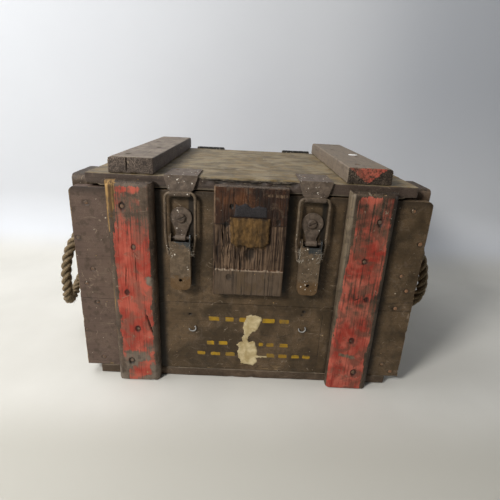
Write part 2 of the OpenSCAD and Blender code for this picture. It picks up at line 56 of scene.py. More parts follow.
def make_camera():
    """Camera at the photograph's viewpoint."""
    place = (-0.0029, -0.5643, 0.3393)
    down, yaw, roll = 0.3588, 0.0094, 0.0488
    data = bpy.data.cameras.new("camera")
    data.sensor_width = 36
    data.lens = 28.09
    camera = bpy.data.objects.new("camera", data)
    turns = ((-yaw, "Z"), (math.pi / 2 - down, "X"), (roll, "Z"))
    camera.matrix_world = Matrix.Translation(place)
    for angle, axis in turns:
        camera.matrix_world = camera.matrix_world @ Matrix.Rotation(angle, 4, axis)
    scene.collection.objects.link(camera)
    scene.camera = camera


def area_light(name, place, target, size, power, colour, spread=180):
    data = bpy.data.lights.new(name, "AREA")
    data.size = size
    data.spread = math.radians(spread)
    data.energy = power
    data.color = colour
    light = bpy.data.objects.new(name, data)
    light.location = place
    light.rotation_euler = (Vector(target) - Vector(place)).to_track_quat("-Z", "Y").to_euler()
    scene.collection.objects.link(light)


def make_lights():
    """Three lamps, and a world that the camera sees paler than it lights."""
    middle, cool = (0, 0, 0.12), (0.97, 0.98, 1.0)
    area_light("key", (-0.85, -1.0, 0.95), middle, 0.34, 18.8, (1.0, 0.98, 0.95))
    area_light("top", (-0.85, 0.0, 1.25), middle, 0.9, 12.5, cool)
    area_light("fill", (1.05, 0.0, 0.5), (0.2, 0.0, 0.15), 0.5, 0.28, cool, 44)
    world = bpy.data.worlds.new("world")
    world.use_nodes = True
    tree = world.node_tree
    path = tree.nodes.new("ShaderNodeLightPath")
    either = tree.nodes.new("ShaderNodeMixShader")
    tree.links.new(path.outputs["Is Camera Ray"], either.inputs[0])
    light, seen = tree.nodes["Background"], tree.nodes.new("ShaderNodeBackground")
    for i, sky, colour, strength in ((1, light, (0.80, 0.85, 0.92, 1), 0.055), (2, seen, (0.44, 0.45, 0.48, 1), 1.0)):
        sky.inputs["Color"].default_value = colour
        sky.inputs["Strength"].default_value = strength
        tree.links.new(sky.outputs[0], either.inputs[i])
    tree.links.new(either.outputs[0], tree.nodes["World Output"].inputs["Surface"])
    scene.world = world
    scene.view_settings.view_transform = "Standard"


# ---- repeatable noise ----

def lattice(cells, seed):
    """Repeatable value from 0 to 1 for each row of whole numbers."""
    mix = cells[:, 0] * 73856093 ^ cells[:, 1] * 19349663 ^ cells[:, 2] * 83492791 ^ seed * 2654435761
    mix &= 0xFFFFFFFF
    for _ in range(2):
        mix = (mix ^ mix >> 16) * 0x45D9F3B & 0xFFFFFFFF
    return (mix ^ mix >> 16) / 0xFFFFFFFF


def noise(points, seed):
    """Smooth noise from -1 to 1, with one cell to each unit."""
    cell = np.floor(points).astype(np.int64)
    t = points - cell
    t = t * t * (3 - 2 * t)
    total = np.zeros(len(points))
    for corner in product((0, 1), repeat=3):
        share = np.prod(np.where(corner, t, 1 - t), axis=1)
        total += share * lattice(cell + corner, seed)
    return total * 2 - 1


def rough(points, seed, octaves=3):
    """Noise summed over octaves, from about -1 to 1."""
    return sum(noise(points * 2 ** k, seed + 17 * k) * 0.55 ** k for k in range(octaves)) / 1.6


def smooth(low, high, value):
    """0 below low, 1 above high, and a smooth step between; low may be the larger."""
    t = np.clip((value - low) / (high - low), 0, 1)
    return t * t * (3 - 2 * t)


# ---- materials ----

MATERIALS = {}


class Value:
    """A node's output; adding, subtracting or multiplying makes a Math node."""

    def __init__(self, shader, socket):
        self.shader, self.socket = shader, socket

    def __add__(self, other):
        return self.shader.calc("ADD", self, other)

    def __sub__(self, other):
        return self.shader.calc("SUBTRACT", self, other)

    def __mul__(self, other):
        return self.shader.calc("MULTIPLY", self, other)


class Shader:
    """A node material, with short calls for the nodes it needs. Lengths are in millimetres."""

    def __init__(self, name):
        self.name = name
        self.material = bpy.data.materials.new(name)
        self.material.use_nodes = True
        self.tree = self.material.node_tree
        self.tree.nodes.clear()
        self.at = self.scaled(self.node("TexCoord", {}, out="Object"), (1 / MM,) * 3)

    def node(self, kind, inputs, out=0, **settings):
        made = self.tree.nodes.new("ShaderNode" + kind)
        for key, value in settings.items():
            setattr(made, key, value)
        for key, value in inputs.items():
            if isinstance(value, Value):
                self.tree.links.new(value.socket, made.inputs[key])
            else:
                made.inputs[key].default_value = value
        return Value(self, made.outputs[out]) if made.outputs else None

    def scaled(self, vector, factors):
        return self.node("VectorMath", {0: vector, 1: factors}, operation="MULTIPLY")

    def calc(self, operation, a, b=0.0, clamp=False):
        return self.node("Math", {0: a, 1: b}, operation=operation, use_clamp=clamp)

    def noise(self, scale, detail=2.0, distortion=0.0, at=None):
        inputs = {"Vector": at or self.at, "Scale": scale, "Detail": detail, "Distortion": distortion}
        return self.node("TexNoise", inputs | {"Roughness": 0.55})

    def step(self, value, low, high, first=0.0, last=1.0):
        """first below low, last above high, and a smooth step between."""
        inputs = {0: value, 1: low, 2: high, 3: first, 4: last}
        return self.node("MapRange", inputs, interpolation_type="SMOOTHSTEP")

    def field(self, name):
        return self.node("Attribute", {}, out="Fac", attribute_name=name)

    def blend(self, share, a, b):
        a, b = (tuple(c) + (1,) if isinstance(c, tuple) else c for c in (a, b))
        return self.node("Mix", {0: share, 6: a, 7: b}, out=2, data_type="RGBA")

    def spots(self, scale, share, size):
        """Round spots in a share of the cells of a 3-D pattern."""
        distance = self.node("TexVoronoi", {"Vector": self.at, "Scale": scale}, out="Distance")
        cell_colour = Value(self, distance.socket.node.outputs["Color"])
        picked = self.calc("GREATER_THAN", self.node("SeparateColor", {0: cell_colour}), 1 - share)
        reach = self.noise(scale * 9, 2) * (size * scale * 2)
        return picked * self.calc("LESS_THAN", distance, reach)

    def surface(self, colour, roughness, height, depth, metallic=0.0, **more):
        """The lit surface; height is in parts of depth, in millimetres."""
        bump = self.node("Bump", {"Height": height, "Strength": 1.0, "Distance": depth * MM}, out="Normal")
        inputs = {"Base Color": colour, "Roughness": roughness, "Metallic": metallic, "Normal": bump}
        return self.node("BsdfPrincipled", inputs | {"Specular IOR Level": 0.35} | more)

    def finish(self, surface):
        """Ends the material with a surface, and keeps it under its name."""
        self.node("OutputMaterial", {0: surface})
        MATERIALS[self.name] = self.material


def grey(colour, factor):
    return tuple(c * factor for c in colour)


def wood(name, grain, paint, bare, cover, second=None, flecks=0.22, pores=0.25, relief=0.4,
         other=(0.128, 0.083, 0.066), scratched=0.75, dust=0.22):
    """Worn paint over wood. paint and bare are dark and light colours; second is a paint laid where mark is over 0.

    The tone field turns the paint to the other colour, and fade wears the second paint away.
    """
    s = Shader(name)
    along = [1.0, 1.0, 1.0]
    along[grain] = 0.03
    drawn = s.scaled(s.at, along)
    patches = s.noise(0.012, 3.0)
    cloud = s.noise(0.04, 4.0, 0.4)
    blotch = s.noise(0.13, 4.0)
    fine = s.noise(1.1, 3.0)
    fibre = s.noise(0.6, 3.0, 0.3, drawn)
    rings = s.calc("SINE", s.noise(0.11, 2.0, 0.5, drawn) * 52.0)
    wood_colour = s.blend(s.step(rings * 0.2 + fibre * 0.95, 0.15, 0.8), *bare)
    wood_colour = s.blend(s.step(blotch, 0.4, 0.75, 0.0, 0.6), wood_colour, grey(bare[0], 0.6))
    coat = s.blend(s.step(patches * 0.5 + cloud * 0.5, 0.4, 0.62), *paint)
    coat = s.blend(s.field("tone"), coat, other)
    coat = s.blend(s.step(blotch, 0.5, 0.34, 0.0, 0.45), coat, grey(paint[0], 0.5))
    coat = s.blend(s.step(s.noise(0.08, 5.0, 1.2), 0.56, 0.7, 0.0, 0.4), coat, (0.16, 0.115, 0.078))
    dusty = s.step(fine, 0.45, 0.75, 0.0, dust) * s.step(cloud, 0.35, 0.6)
    coat = s.blend(dusty, coat, (0.30, 0.25, 0.19))
    pitted = s.step(fine, 0.42, 0.56, 1.0, 0.25) + rings * 0.2
    coat = s.blend(s.calc("MULTIPLY", s.field("end"), pitted, clamp=True), coat, grey(paint[0], 0.3))
    if second:
        jag = (fibre + blotch - 1.0) * second["ragged"]
        over = s.step(s.field("mark") + jag, -0.15, 0.25)
        thin = s.step(blotch * 0.45 + fibre * 0.65 - s.field("fade") * 0.4, *second["worn"])
        second_coat = s.blend(s.step(cloud + fibre * 0.3, 0.5, 0.78), *second["colours"])
        dull = s.step(s.noise(0.06, 5.0, 0.8) + fibre * 0.25, 0.6, 0.75, 0.0, 0.7)
        coat = s.blend(over * thin, coat, s.blend(dull, second_coat, second["dull"]))
    coat = s.blend(s.step(fibre, 0.47, 0.30, 0.0, pores), coat, (0.018, 0.013, 0.010))
    edge = s.step(s.field("edge"), 0.2, 3.0, 1.0, 0.0) * s.step(cloud, 0.3, 0.62, 0.35, 1.0)
    left = blotch * 0.55 + fibre * 0.6 + (cover - 0.55) - edge * 0.27 - s.field("bare")
    mask = s.step(left, 0.23, 0.30)
    colour = s.blend(mask, wood_colour, coat)
    scratch = s.step(s.calc("ABSOLUTE", s.noise(0.021, 2.0, 1.6) - 0.5), 0.006, 0.002)
    scratch = scratch * s.step(blotch, 0.5, 0.62, 0.0, scratched)
    colour = s.blend(scratch * mask, colour, (0.26, 0.20, 0.14))
    flecked = s.calc("MAXIMUM", s.spots(0.05, flecks, 0.9), s.spots(0.13, flecks * 1.3, 0.48))
    fleck_colour = s.blend(s.step(patches, 0.45, 0.55), (0.50, 0.44, 0.34), (0.34, 0.22, 0.09))
    colour = s.blend(flecked * mask, colour, fleck_colour)
    # Darkening towards near black from a point field of dirt and painted shade: shade in hollows, beside raised parts
    # and under the lid.
    colour = s.blend(s.calc("MULTIPLY", s.field("dirt"), 0.92, clamp=True), colour, (0.009, 0.007, 0.005))
    roughness = mask * -0.2 + blotch * 0.3 + 0.66
    height = mask * 0.4 + fibre * relief + fine * 0.3 + flecked * 0.4 + blotch * 0.5
    s.finish(s.surface(colour, roughness, height, 0.5))


def metal(name, paint, bare, rust, cover, rusty, shine=0.42):
    """Paint worn from steel at the edges, with rust spots."""
    s = Shader(name)
    blotch = s.noise(0.16, 4.0)
    fine = s.noise(0.8, 2.0)
    edge = s.step(s.field("edge"), 0.1, 1.3, 1.0, 0.0)
    coat = s.blend(s.step(blotch, 0.3, 0.75), *paint)
    rust_colour = s.blend(fine, rust, grey(rust, 0.4))
    steel_colour = s.blend(s.step(fine, 0.3, 0.7), grey(bare, 0.7), bare)
    left = blotch * 0.7 + fine * 0.45 + (cover - 0.55) - edge * 0.2 - s.field("bare")
    mask = s.step(left, 0.22, 0.29)
    rusted = s.step(s.noise(0.33, 4.0, 0.6) + s.field("rust"), 0.72 - rusty, 0.86 - rusty)
    grime_share = s.step(s.noise(0.2, 3.0, 0.8) + blotch * 0.3, 0.6, 0.76, 0.0, 0.45)
    coat = s.blend(rusted * 0.5, s.blend(grime_share, coat, grey(paint[0], 0.35)), rust_colour)
    colour = s.blend(mask, s.blend(rusted, steel_colour, rust_colour), coat)
    flecked = s.calc("MAXIMUM", s.spots(0.16, 0.5, 0.75), s.spots(0.3, 0.3, 0.42))
    colour = s.blend(flecked, colour, (0.78, 0.72, 0.62))
    unpainted, sound = s.calc("SUBTRACT", 1.0, mask), s.calc("SUBTRACT", 1.0, rusted)
    metallic = s.calc("MULTIPLY", unpainted, sound, clamp=True)
    roughness = s.calc("ADD", mask * 0.2 + rusted * 0.3 + fine * 0.2, shine - 0.1, clamp=True)
    height = mask * 0.5 + fine * 0.2 + blotch * 0.5 + flecked * 0.6
    s.finish(s.surface(colour, roughness, height, 0.18, metallic))


def soft(name, dark, light, fuzzy, stretch=(1, 1, 1), scale=0.6, depth=0.3, stain=0.5):
    """Fibrous or papery stuff: fine threads, blotches, and darkening from a point field that holds dirt and painted
    shade.
    """
    s = Shader(name)
    thread = s.noise(scale, 3.0, 0.3, s.scaled(s.at, stretch))
    blotch = s.noise(0.09, 4.0)
    colour = s.blend(s.step(thread, 0.3, 0.72), dark, light)
    colour = s.blend(s.step(blotch, 0.5, 0.75, 0.0, stain), colour, grey(dark, 0.5))
    colour = s.blend(s.spots(0.3, fuzzy, 0.4), colour, grey(light, 1.5))
    # Darkening from a point field of dirt and painted shade, such as the shade in the rope's grooves.
    colour = s.blend(s.calc("MULTIPLY", s.field("dirt"), 0.85, clamp=True), colour, grey(dark, 0.15))
    s.finish(s.surface(colour, 0.85, thread + blotch * 0.6, depth))


def stage_look(name, painted_glow):
    """Pale matt paint that is clear from behind and fades out far from the crate, with painted shade towards the right
    and top of the wall and at the front of the floor, and a painted glow.
    """
    s = Shader(name)
    cloud = s.noise(0.004, 4.0)
    colour = s.blend(s.step(cloud, 0.3, 0.7), (0.61, 0.595, 0.545), (0.69, 0.675, 0.625))
    colour = s.blend(s.step(s.noise(0.35, 2.0), 0.72, 0.8, 0.0, 0.3), colour, (0.3, 0.27, 0.23))
    x, y, z = (s.node("SeparateXYZ", {0: s.at}, out=out) for out in "XYZ")
    wall_colour = s.blend(cloud, (0.66, 0.68, 0.715), (0.71, 0.73, 0.765))
    # Painted shade: the wall darkens towards the right and higher up.
    shade = s.step(x, 120.0, 420.0) * s.step(z, 100.0, 420.0, 0.0, 0.9)
    wall_colour = s.blend(shade, wall_colour, (0.52, 0.545, 0.59))
    # Painted shade: the floor darkens towards the front.
    colour = s.blend(s.step(y, -170.0, -270.0, 0.0, 0.9), colour, (0.48, 0.465, 0.41))
    colour = s.blend(s.step(z, 0.0, 50.0), colour, wall_colour)
    # The glow is painted light that stands in for the light the wall keeps off the floor beyond it.
    lit = s.surface(colour, 0.75, cloud, 0.2, **{"Emission Color": (1.0, 0.99, 0.96, 1), "Emission Strength": painted_glow})
    away = s.node("VectorMath", {0: s.scaled(s.at, (1, 1, 0))}, out="Value", operation="LENGTH")
    behind = s.node("NewGeometry", {}, out="Backfacing")
    gone = s.calc("MAXIMUM", behind, s.step(away, 1000.0, 2100.0))
    s.finish(s.node("MixShader", {0: gone, 1: lit, 2: s.node("BsdfTransparent", {})}))


BROWN = ((0.054, 0.034, 0.0155), (0.116, 0.072, 0.035))
BROWN_END = ((0.060, 0.038, 0.022), (0.120, 0.079, 0.050))
RAW = ((0.085, 0.052, 0.026), (0.29, 0.20, 0.105))
RAW_GREY = ((0.10, 0.078, 0.055), (0.25, 0.195, 0.135))
OCHRE = ((0.085, 0.045, 0.017), (0.34, 0.20, 0.07))


def second_paint(dark, light, ragged, worn, dull):
    """A paint laid over the first: how ragged its rim is, how it wears, and its dull patches."""
    return {"colours": (dark, light), "ragged": ragged, "worn": worn, "dull": dull}


YELLOW = second_paint((0.46, 0.27, 0.008), (0.31, 0.175, 0.012), 1.8, (0.34, 0.56), (0.22, 0.14, 0.03))
RED = second_paint((0.33, 0.036, 0.020), (0.47, 0.10, 0.062), 8.0, (0.26, 0.52), (0.20, 0.085, 0.055))
DARK_RED = second_paint((0.31, 0.032, 0.018), (0.50, 0.125, 0.080), 7.0, (0.31, 0.6), (0.13, 0.055, 0.034))
TAN = second_paint((0.118, 0.089, 0.049), (0.252, 0.200, 0.120), 3.0, (0.32, 0.54), (0.21, 0.14, 0.055))
GREY_TAN = second_paint((0.14, 0.108, 0.080), (0.225, 0.18, 0.135), 3.0, (0.28, 0.5), (0.12, 0.085, 0.06))
FOOT_PAINT = second_paint((0.080, 0.052, 0.032), (0.115, 0.078, 0.050), 1.8, (0.16, 0.3), (0.095, 0.06, 0.03))


def make_materials():
    wood("painted_x", X, BROWN, RAW, 0.57, YELLOW, flecks=0.36)
    wood("painted_y", Y, BROWN_END, RAW, 0.55)
    wood("painted_z", Z, BROWN_END, RAW, 0.55)
    wood("floor_wood", X, BROWN_END, RAW_GREY, 0.50)
    wood("red_left", Z, ((0.052, 0.034, 0.022), (0.108, 0.072, 0.048)), OCHRE, 0.58, RED, pores=0.35, relief=0.6,
         other=(0.24, 0.195, 0.15))
    wood("red_right", Z, ((0.040, 0.025, 0.015), (0.088, 0.060, 0.036)), RAW, 0.58, DARK_RED, pores=0.45, relief=0.6,
         other=(0.165, 0.125, 0.08))
    wood("lid_wood", X, BROWN_END, RAW_GREY, 0.52, TAN, pores=0.6, relief=0.7, other=(0.058, 0.040, 0.032))
    wood("batten_wood", Y, ((0.110, 0.079, 0.060), (0.21, 0.156, 0.122)), RAW_GREY, 0.54, GREY_TAN, pores=0.4,
         relief=0.6, other=(0.040, 0.027, 0.024))
    wood("batten_red_end", Y, ((0.075, 0.052, 0.036), (0.15, 0.108, 0.075)), RAW_GREY, 0.54, DARK_RED, pores=0.4,
         relief=0.6, other=(0.20, 0.155, 0.11))
    wood("seal_block_wood", Z, ((0.022, 0.007, 0.002), (0.114, 0.039, 0.011)),
         ((0.024, 0.012, 0.006), (0.172, 0.108, 0.064)), 0.50, FOOT_PAINT, flecks=0.16, pores=0.85, relief=0.7,
         other=(0.36, 0.28, 0.20), scratched=0.15, dust=0.06)
    metal("latch_steel", ((0.085, 0.060, 0.042), (0.17, 0.128, 0.096)), (0.30, 0.29, 0.27), (0.12, 0.06, 0.025), 0.64,
          0.0)
    metal("lever_steel", ((0.105, 0.072, 0.042), (0.175, 0.124, 0.078)), (0.115, 0.121, 0.124),
          (0.19, 0.095, 0.026), 0.60, 0.05)
    metal("bail_wire", ((0.085, 0.058, 0.036), (0.19, 0.14, 0.09)), (0.40, 0.34, 0.25), (0.12, 0.065, 0.03), 0.50,
          0.03)
    metal("hinge_steel", ((0.012, 0.011, 0.010), (0.04, 0.035, 0.03)), (0.2, 0.2, 0.2), (0.08, 0.04, 0.02), 0.62, 0.0)
    metal("rusty_fixings", ((0.06, 0.042, 0.03), (0.12, 0.085, 0.06)), (0.24, 0.21, 0.18), (0.12, 0.055, 0.026), 0.50,
          0.10)
    metal("nail_rust", ((0.10, 0.068, 0.048), (0.19, 0.13, 0.092)), (0.30, 0.23, 0.16), (0.36, 0.19, 0.10), 0.50, 0.18)
    metal("bare_wire", ((0.3, 0.29, 0.27), (0.4, 0.39, 0.37)), (0.62, 0.61, 0.58), (0.2, 0.12, 0.07), 0.30, -0.1, 0.3)
    soft("tab_leather", (0.055, 0.030, 0.009), (0.178, 0.096, 0.029), 0.16, (1, 1, 0.3), 0.3, 0.4)
    soft("dark_tape", (0.015, 0.013, 0.014), (0.042, 0.037, 0.039), 0.05, scale=1.1, depth=0.25)
    soft("label_paper", (0.44, 0.33, 0.155), (0.72, 0.60, 0.36), 0.0, scale=0.10, depth=0.15, stain=0.35)
    soft("sticker_paper", (0.6, 0.58, 0.55), (0.85, 0.85, 0.84), 0.0, scale=0.3, depth=0.05, stain=0.2)
    soft("lint", (0.40, 0.35, 0.28), (0.66, 0.60, 0.50), 0.0)
    soft("hemp_rope", (0.085, 0.058, 0.031), (0.355, 0.262, 0.15), 0.08, scale=0.9, depth=0.6, stain=0.4)


# ---- meshes ----

def box(node):
    """Lowest and highest corners of a CAD node, in millimetres."""
    low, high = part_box(node)
    return np.array(low) / MM, np.array(high) / MM


def add_piece(name, points, faces, material, body="crate", slot=None, **fields):
    """A smooth-shaded mesh piece from points in millimetres; it rides on a body and replaces its CAD node, if any."""
    mesh = bpy.data.meshes.new(name)
    mesh.from_pydata((np.asarray(points) * MM).tolist(), [], [tuple(map(int, f)) for f in faces])
    mesh.polygons.foreach_set("use_smooth", np.ones(len(mesh.polygons), bool))
    for field, values in fields.items():
        values = np.full(len(points), values, np.float32)
        mesh.attributes.new(field, "FLOAT", "POINT").data.foreach_set("value", values)
    mesh.materials.append(MATERIALS[material])
    piece = bpy.data.objects.new(name + "_visual", mesh)
    scene.collection.objects.link(piece)
    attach(piece, body)
    nodes = [name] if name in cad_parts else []
    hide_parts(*nodes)
    return piece


def spaced(low, high, step, zones):
    """Grid lines from low to high: step apart, finer near both ends and in each zone (middle, reach, step)."""
    rim = min(3.0, (high - low) / 3)
    lines = np.linspace(low, high, max(2, round((high - low) / step)) + 1)
    for middle, reach, fine in [(low, rim, 0.7), (high, rim, 0.7)] + zones:
        a, b = max(low, middle - reach), min(high, middle + reach)
        if b > a:
            inside = (lines > a - fine * 0.6) & (lines < b + fine * 0.6)
            extra = np.linspace(a, b, max(2, round((b - a) / fine)) + 1)
            lines = np.concatenate([lines[~inside], extra])
            lines.sort()
    lines = lines[np.concatenate([[True], np.diff(lines) > 0.12])]
    lines[0], lines[-1] = low, high
    return lines


def box_grid(lines):
    """Points and outward quads of a closed box whose grid lines are given for each axis."""
    n = [len(line) for line in lines]
    quads = []
    for axis in range(3):
        u, v = (axis + 1) % 3, (axis + 2) % 3
        for end in (0, n[axis] - 1):
            index = [None] * 3
            index[axis] = end
            index[u], index[v] = np.meshgrid(np.arange(n[u]), np.arange(n[v]), indexing="ij")
            ids = (index[0] * n[1] + index[1]) * n[2] + index[2]
            corners = [ids[:-1, :-1], ids[1:, :-1], ids[1:, 1:], ids[:-1, 1:]]
            quads.append(np.stack(corners if end else corners[::-1], -1).reshape(-1, 4))
    used, faces = np.unique(np.concatenate(quads), return_inverse=True)
    places = used // (n[1] * n[2]), used // n[2] % n[1], used % n[2]
    return np.stack([line[place] for line, place in zip(lines, places)], 1), faces.reshape(-1, 4)


def soften(points, low, high, axes, side, reach, power):
    """Rounds the edge where two axes meet at one side each: power 1 is a flat bevel and 2 is round."""
    out = []
    for axis, end in zip(axes, side):
        inner = high[axis] - reach if end > 0 else low[axis] + reach
        out.append((points[:, axis] - inner) * end)
    zone = (out[0] > 0) & (out[1] > 0)
    u, v = np.maximum(out[0], 1e-9), np.maximum(out[1], 1e-9)
    scale = np.maximum(u, v) / (u ** power + v ** power) ** (1 / power)
    for axis, end, value in zip(axes, side, (u, v)):
        points[:, axis] += np.where(zone, end * value * (scale - 1), 0)


def normals_of(points, faces):
    """Unit normal at each point of a quad mesh."""
    face_normals = np.cross(points[faces[:, 2]] - points[faces[:, 0]], points[faces[:, 3]] - points[faces[:, 1]])
    total = np.zeros_like(points)
    for k in range(faces.shape[1]):
        np.add.at(total, faces[:, k], face_normals)
    return total / np.maximum(np.linalg.norm(total, axis=1, keepdims=True), 1e-9)


def near_segment(points, start, end, wander, seed):
    """Distance from each point to a wandering segment, and the share along it."""
    start, end = np.asarray(start, float), np.asarray(end, float)
    line = end - start
    length = np.linalg.norm(line)
    share = np.clip((points - start) @ line / (line @ line), 0, 1)
    side = noise(np.stack([share * length / 9, share * 0, share * 0], 1), seed) * wander
    across = np.cross(line / length, [0, 1, 0] if abs(line[1]) < 0.9 * length else [1, 0, 0])
    offset = points - (start + share[:, None] * line) - side[:, None] * across
    return np.linalg.norm(offset, axis=1), share


def plank(name, grain, material, slot, body="crate", step=(2.4, 2.4, 2.4), edge=1.1, bevels=(), dents=(),
          cracks=(), chips=1.0, grain_depth=0.28, bare=(), mark=None, shape=None, seed=1, kept=(), more=None):
    """A worn board in place of the CAD node of the same name.

    bevels are (axes, side, reach, power). dents are (point, radius, depth, darkening), the darkening
    being dirt and painted shade in the hollow. cracks are (start, end, width, depth, wander). bare are
    (axis, side) of the unpainted faces. mark gives the mark field, and shape adds to the depth, the
    darkening of dirt and painted shade, and the bare wood. Edges on a kept (axis, side) hardly wear.
    more gives other fields.
    """
    low, high = box(name)
    lines = []
    for axis in range(3):
        zones = [(p[axis], r + 1.5, 0.75) for p, r, *_ in dents if low[axis] < p[axis] < high[axis]]
        for a, b, *_ in cracks:
            span = abs(a[axis] - b[axis])
            if span < 6 and low[axis] < a[axis] < high[axis]:
                zones.append(((a[axis] + b[axis]) / 2, span / 2 + 3, 0.5))
        lines.append(spaced(low[axis], high[axis], step[axis], zones))
    points, faces = box_grid(lines)
    flat = points.copy()
    to_low, to_high = points - low, high - points
    for axis, side in kept:
        (to_low if side < 0 else to_high)[:, axis] += 6
    worn_gap = np.sort(np.minimum(to_low, to_high), axis=1)[:, 1]
    for axes, side, reach, power in bevels:
        soften(points, low, high, axes, side, reach, power)
    done = {(axes, side) for axes, side, *_ in bevels}
    worn = edge * (1 + 0.45 * rough(points / 14, seed, 2))
    for axes in ((X, Y), (Y, Z), (X, Z)):
        for side in product((-1, 1), repeat=2):
            if (axes, side) not in done:
                soften(points, low, high, axes, side, worn, 2)
    normal = normals_of(points, faces)
    squeeze, oval = np.ones(3), np.ones(3)
    squeeze[grain], oval[grain] = 0.06, 0.78
    ends = smooth(0.6, 0.85, np.abs(normal[:, grain]))
    depth = grain_depth * (0.5 + 0.5 * rough(points * squeeze / 1.9, seed + 3, 3))
    depth += 0.25 * (0.5 + 0.5 * rough(points * (squeeze + 0.3) / 40, seed + 5, 2))
    depth += ends * 0.5 * (0.5 + 0.5 * rough(points * [0.9, 0.9, 0.5], seed + 7, 2))
    bitten = smooth(0.32, 0.62, rough(points / 5.5, seed + 9, 3)) * smooth(2.6, 0.0, worn_gap)
    depth += chips * 1.1 * bitten
    bared = 0.6 * bitten * chips
    # The darkening field holds dirt, and painted shade in dents, cracks and the shape's hollows.
    dirt = np.zeros(len(points))
    for spot, radius, deep, dark in dents:
        distance = np.linalg.norm((flat - np.asarray(spot)) * oval, axis=1) + 0.45 * noise(flat / 1.6, seed + 11)
        depth += deep * smooth(radius + 0.5, radius - 0.5, distance)
        dirt += dark * smooth(radius + 1.4, radius - 0.4, distance)
    for start, end, width, deep, wander in cracks:
        distance, share = near_segment(flat, start, end, wander, seed + 13)
        taper = np.minimum(smooth(0, 0.15, share), smooth(1, 0.85, share)) * 0.8 + 0.2
        inside = smooth(width * taper, width * taper * 0.25, distance)
        depth += deep * inside
        dirt += inside
    if shape:
        for total, extra in zip((depth, dirt, bared), shape(flat, normal)):
            total += extra
    for axis, side in bare:
        bared += smooth(0.6, 0.9, normal[:, axis] * side) * 2
    fields = {"edge": worn_gap, "dirt": np.clip(dirt, 0, 1), "bare": bared, "end": ends, "fade": 0, "tone": 0,
              "mark": mark(flat, normal) if mark else -20}
    fields.update(more(flat, normal) if more else {})
    return add_piece(name, points - normal * depth[:, None], faces, material, body, slot, **fields)


def ring_frames(path):
    """Tangents and two sideways directions that turn as little as they can along a path."""
    ahead = np.gradient(path, axis=0)
    ahead /= np.linalg.norm(ahead, axis=1, keepdims=True)
    first = np.cross(ahead[0], [0.31, 0.17, 0.93])
    side = [first / np.linalg.norm(first)]
    for t in ahead[1:]:
        n = side[-1] - t * (side[-1] @ t)
        side.append(n / np.linalg.norm(n))
    side = np.array(side)
    return ahead, side, np.cross(ahead, side)


def around(sides):
    """Even angles round a ring."""
    return np.arange(sides) * 2 * math.pi / sides


def tube(path, radii, sides):
    """Points and faces of a closed tube: radii is one number, one for each ring, or rings by sides."""
    path, radii = np.asarray(path, float), np.asarray(radii, float)
    _, side, up = ring_frames(path)
    angle = around(sides)[None, :, None]
    radii = np.broadcast_to(radii.reshape(-1, 1) if radii.ndim < 2 else radii, (len(path), sides))
    rings = path[:, None] + radii[..., None] * (np.cos(angle) * side[:, None] + np.sin(angle) * up[:, None])
    points = np.concatenate([rings.reshape(-1, 3), path[[0, -1]]])
    ids = np.arange(len(path) * sides).reshape(len(path), sides)
    turned = np.roll(ids, -1, axis=1)
    faces = np.stack([ids[:-1], turned[:-1], turned[1:], ids[1:]], -1).reshape(-1, 4).tolist()
    first, last = len(path) * sides, len(path) * sides + 1
    faces += [(first, b, a) for a, b in zip(ids[0], turned[0])]
    faces += [(last, a, b) for a, b in zip(ids[-1], turned[-1])]
    return points, faces


def joined(parts):
    """One list of points and faces from several."""
    points, faces, start = [], [], 0
    for p, f in parts:
        points.append(p)
        faces += [tuple(int(i) + start for i in face) for face in f]
        start += len(p)
    return np.concatenate(points), faces


def run_along(path):
    """Distance along a path at each of its points."""
    return np.concatenate([[0], np.cumsum(np.linalg.norm(np.diff(path, axis=0), axis=1))])


def evenly(path, spacing):
    """Even points along a path."""
    run = run_along(path)
    even = np.linspace(0, run[-1], max(2, round(run[-1] / spacing)) + 1)
    return np.stack([np.interp(even, run, path[:, k]) for k in range(3)], 1)


def smooth_path(points, spacing):
    """Even points along a smooth curve through the given ones."""
    p = np.asarray(points, float)
    p = np.concatenate([[2 * p[0] - p[1]], p, [2 * p[-1] - p[-2]]])
    t = np.linspace(0, 1, 12, endpoint=False)[:, None]
    out = [0.5 * (2 * b + (c - a) * t + (2 * a - 5 * b + 4 * c - d) * t ** 2 + (3 * b - a - 3 * c + d) * t ** 3)
           for a, b, c, d in zip(p, p[1:], p[2:], p[3:])]
    return evenly(np.concatenate(out + [p[-2:-1]]), spacing)


def rounded_path(corners, radii, spacing):
    """Points along straight runs joined by round corners."""
    out = [corners[0]]
    for a, b, c, r in zip(corners, corners[1:], corners[2:], radii):
        back_dir, on_dir = (a - b) / np.linalg.norm(a - b), (c - b) / np.linalg.norm(c - b)
        half = math.acos(np.clip(back_dir @ on_dir, -1, 1)) / 2
        centre = b + (back_dir + on_dir) / np.linalg.norm(back_dir + on_dir) * r / math.sin(half)
        start, end = b + back_dir * r / math.tan(half) - centre, b + on_dir * r / math.tan(half) - centre
        sweep = math.pi - 2 * half
        for t in np.linspace(0, 1, 9):
            out.append(centre + (start * math.sin((1 - t) * sweep) + end * math.sin(t * sweep)) / math.sin(sweep))
    return evenly(np.array(out + [corners[-1]]), spacing)


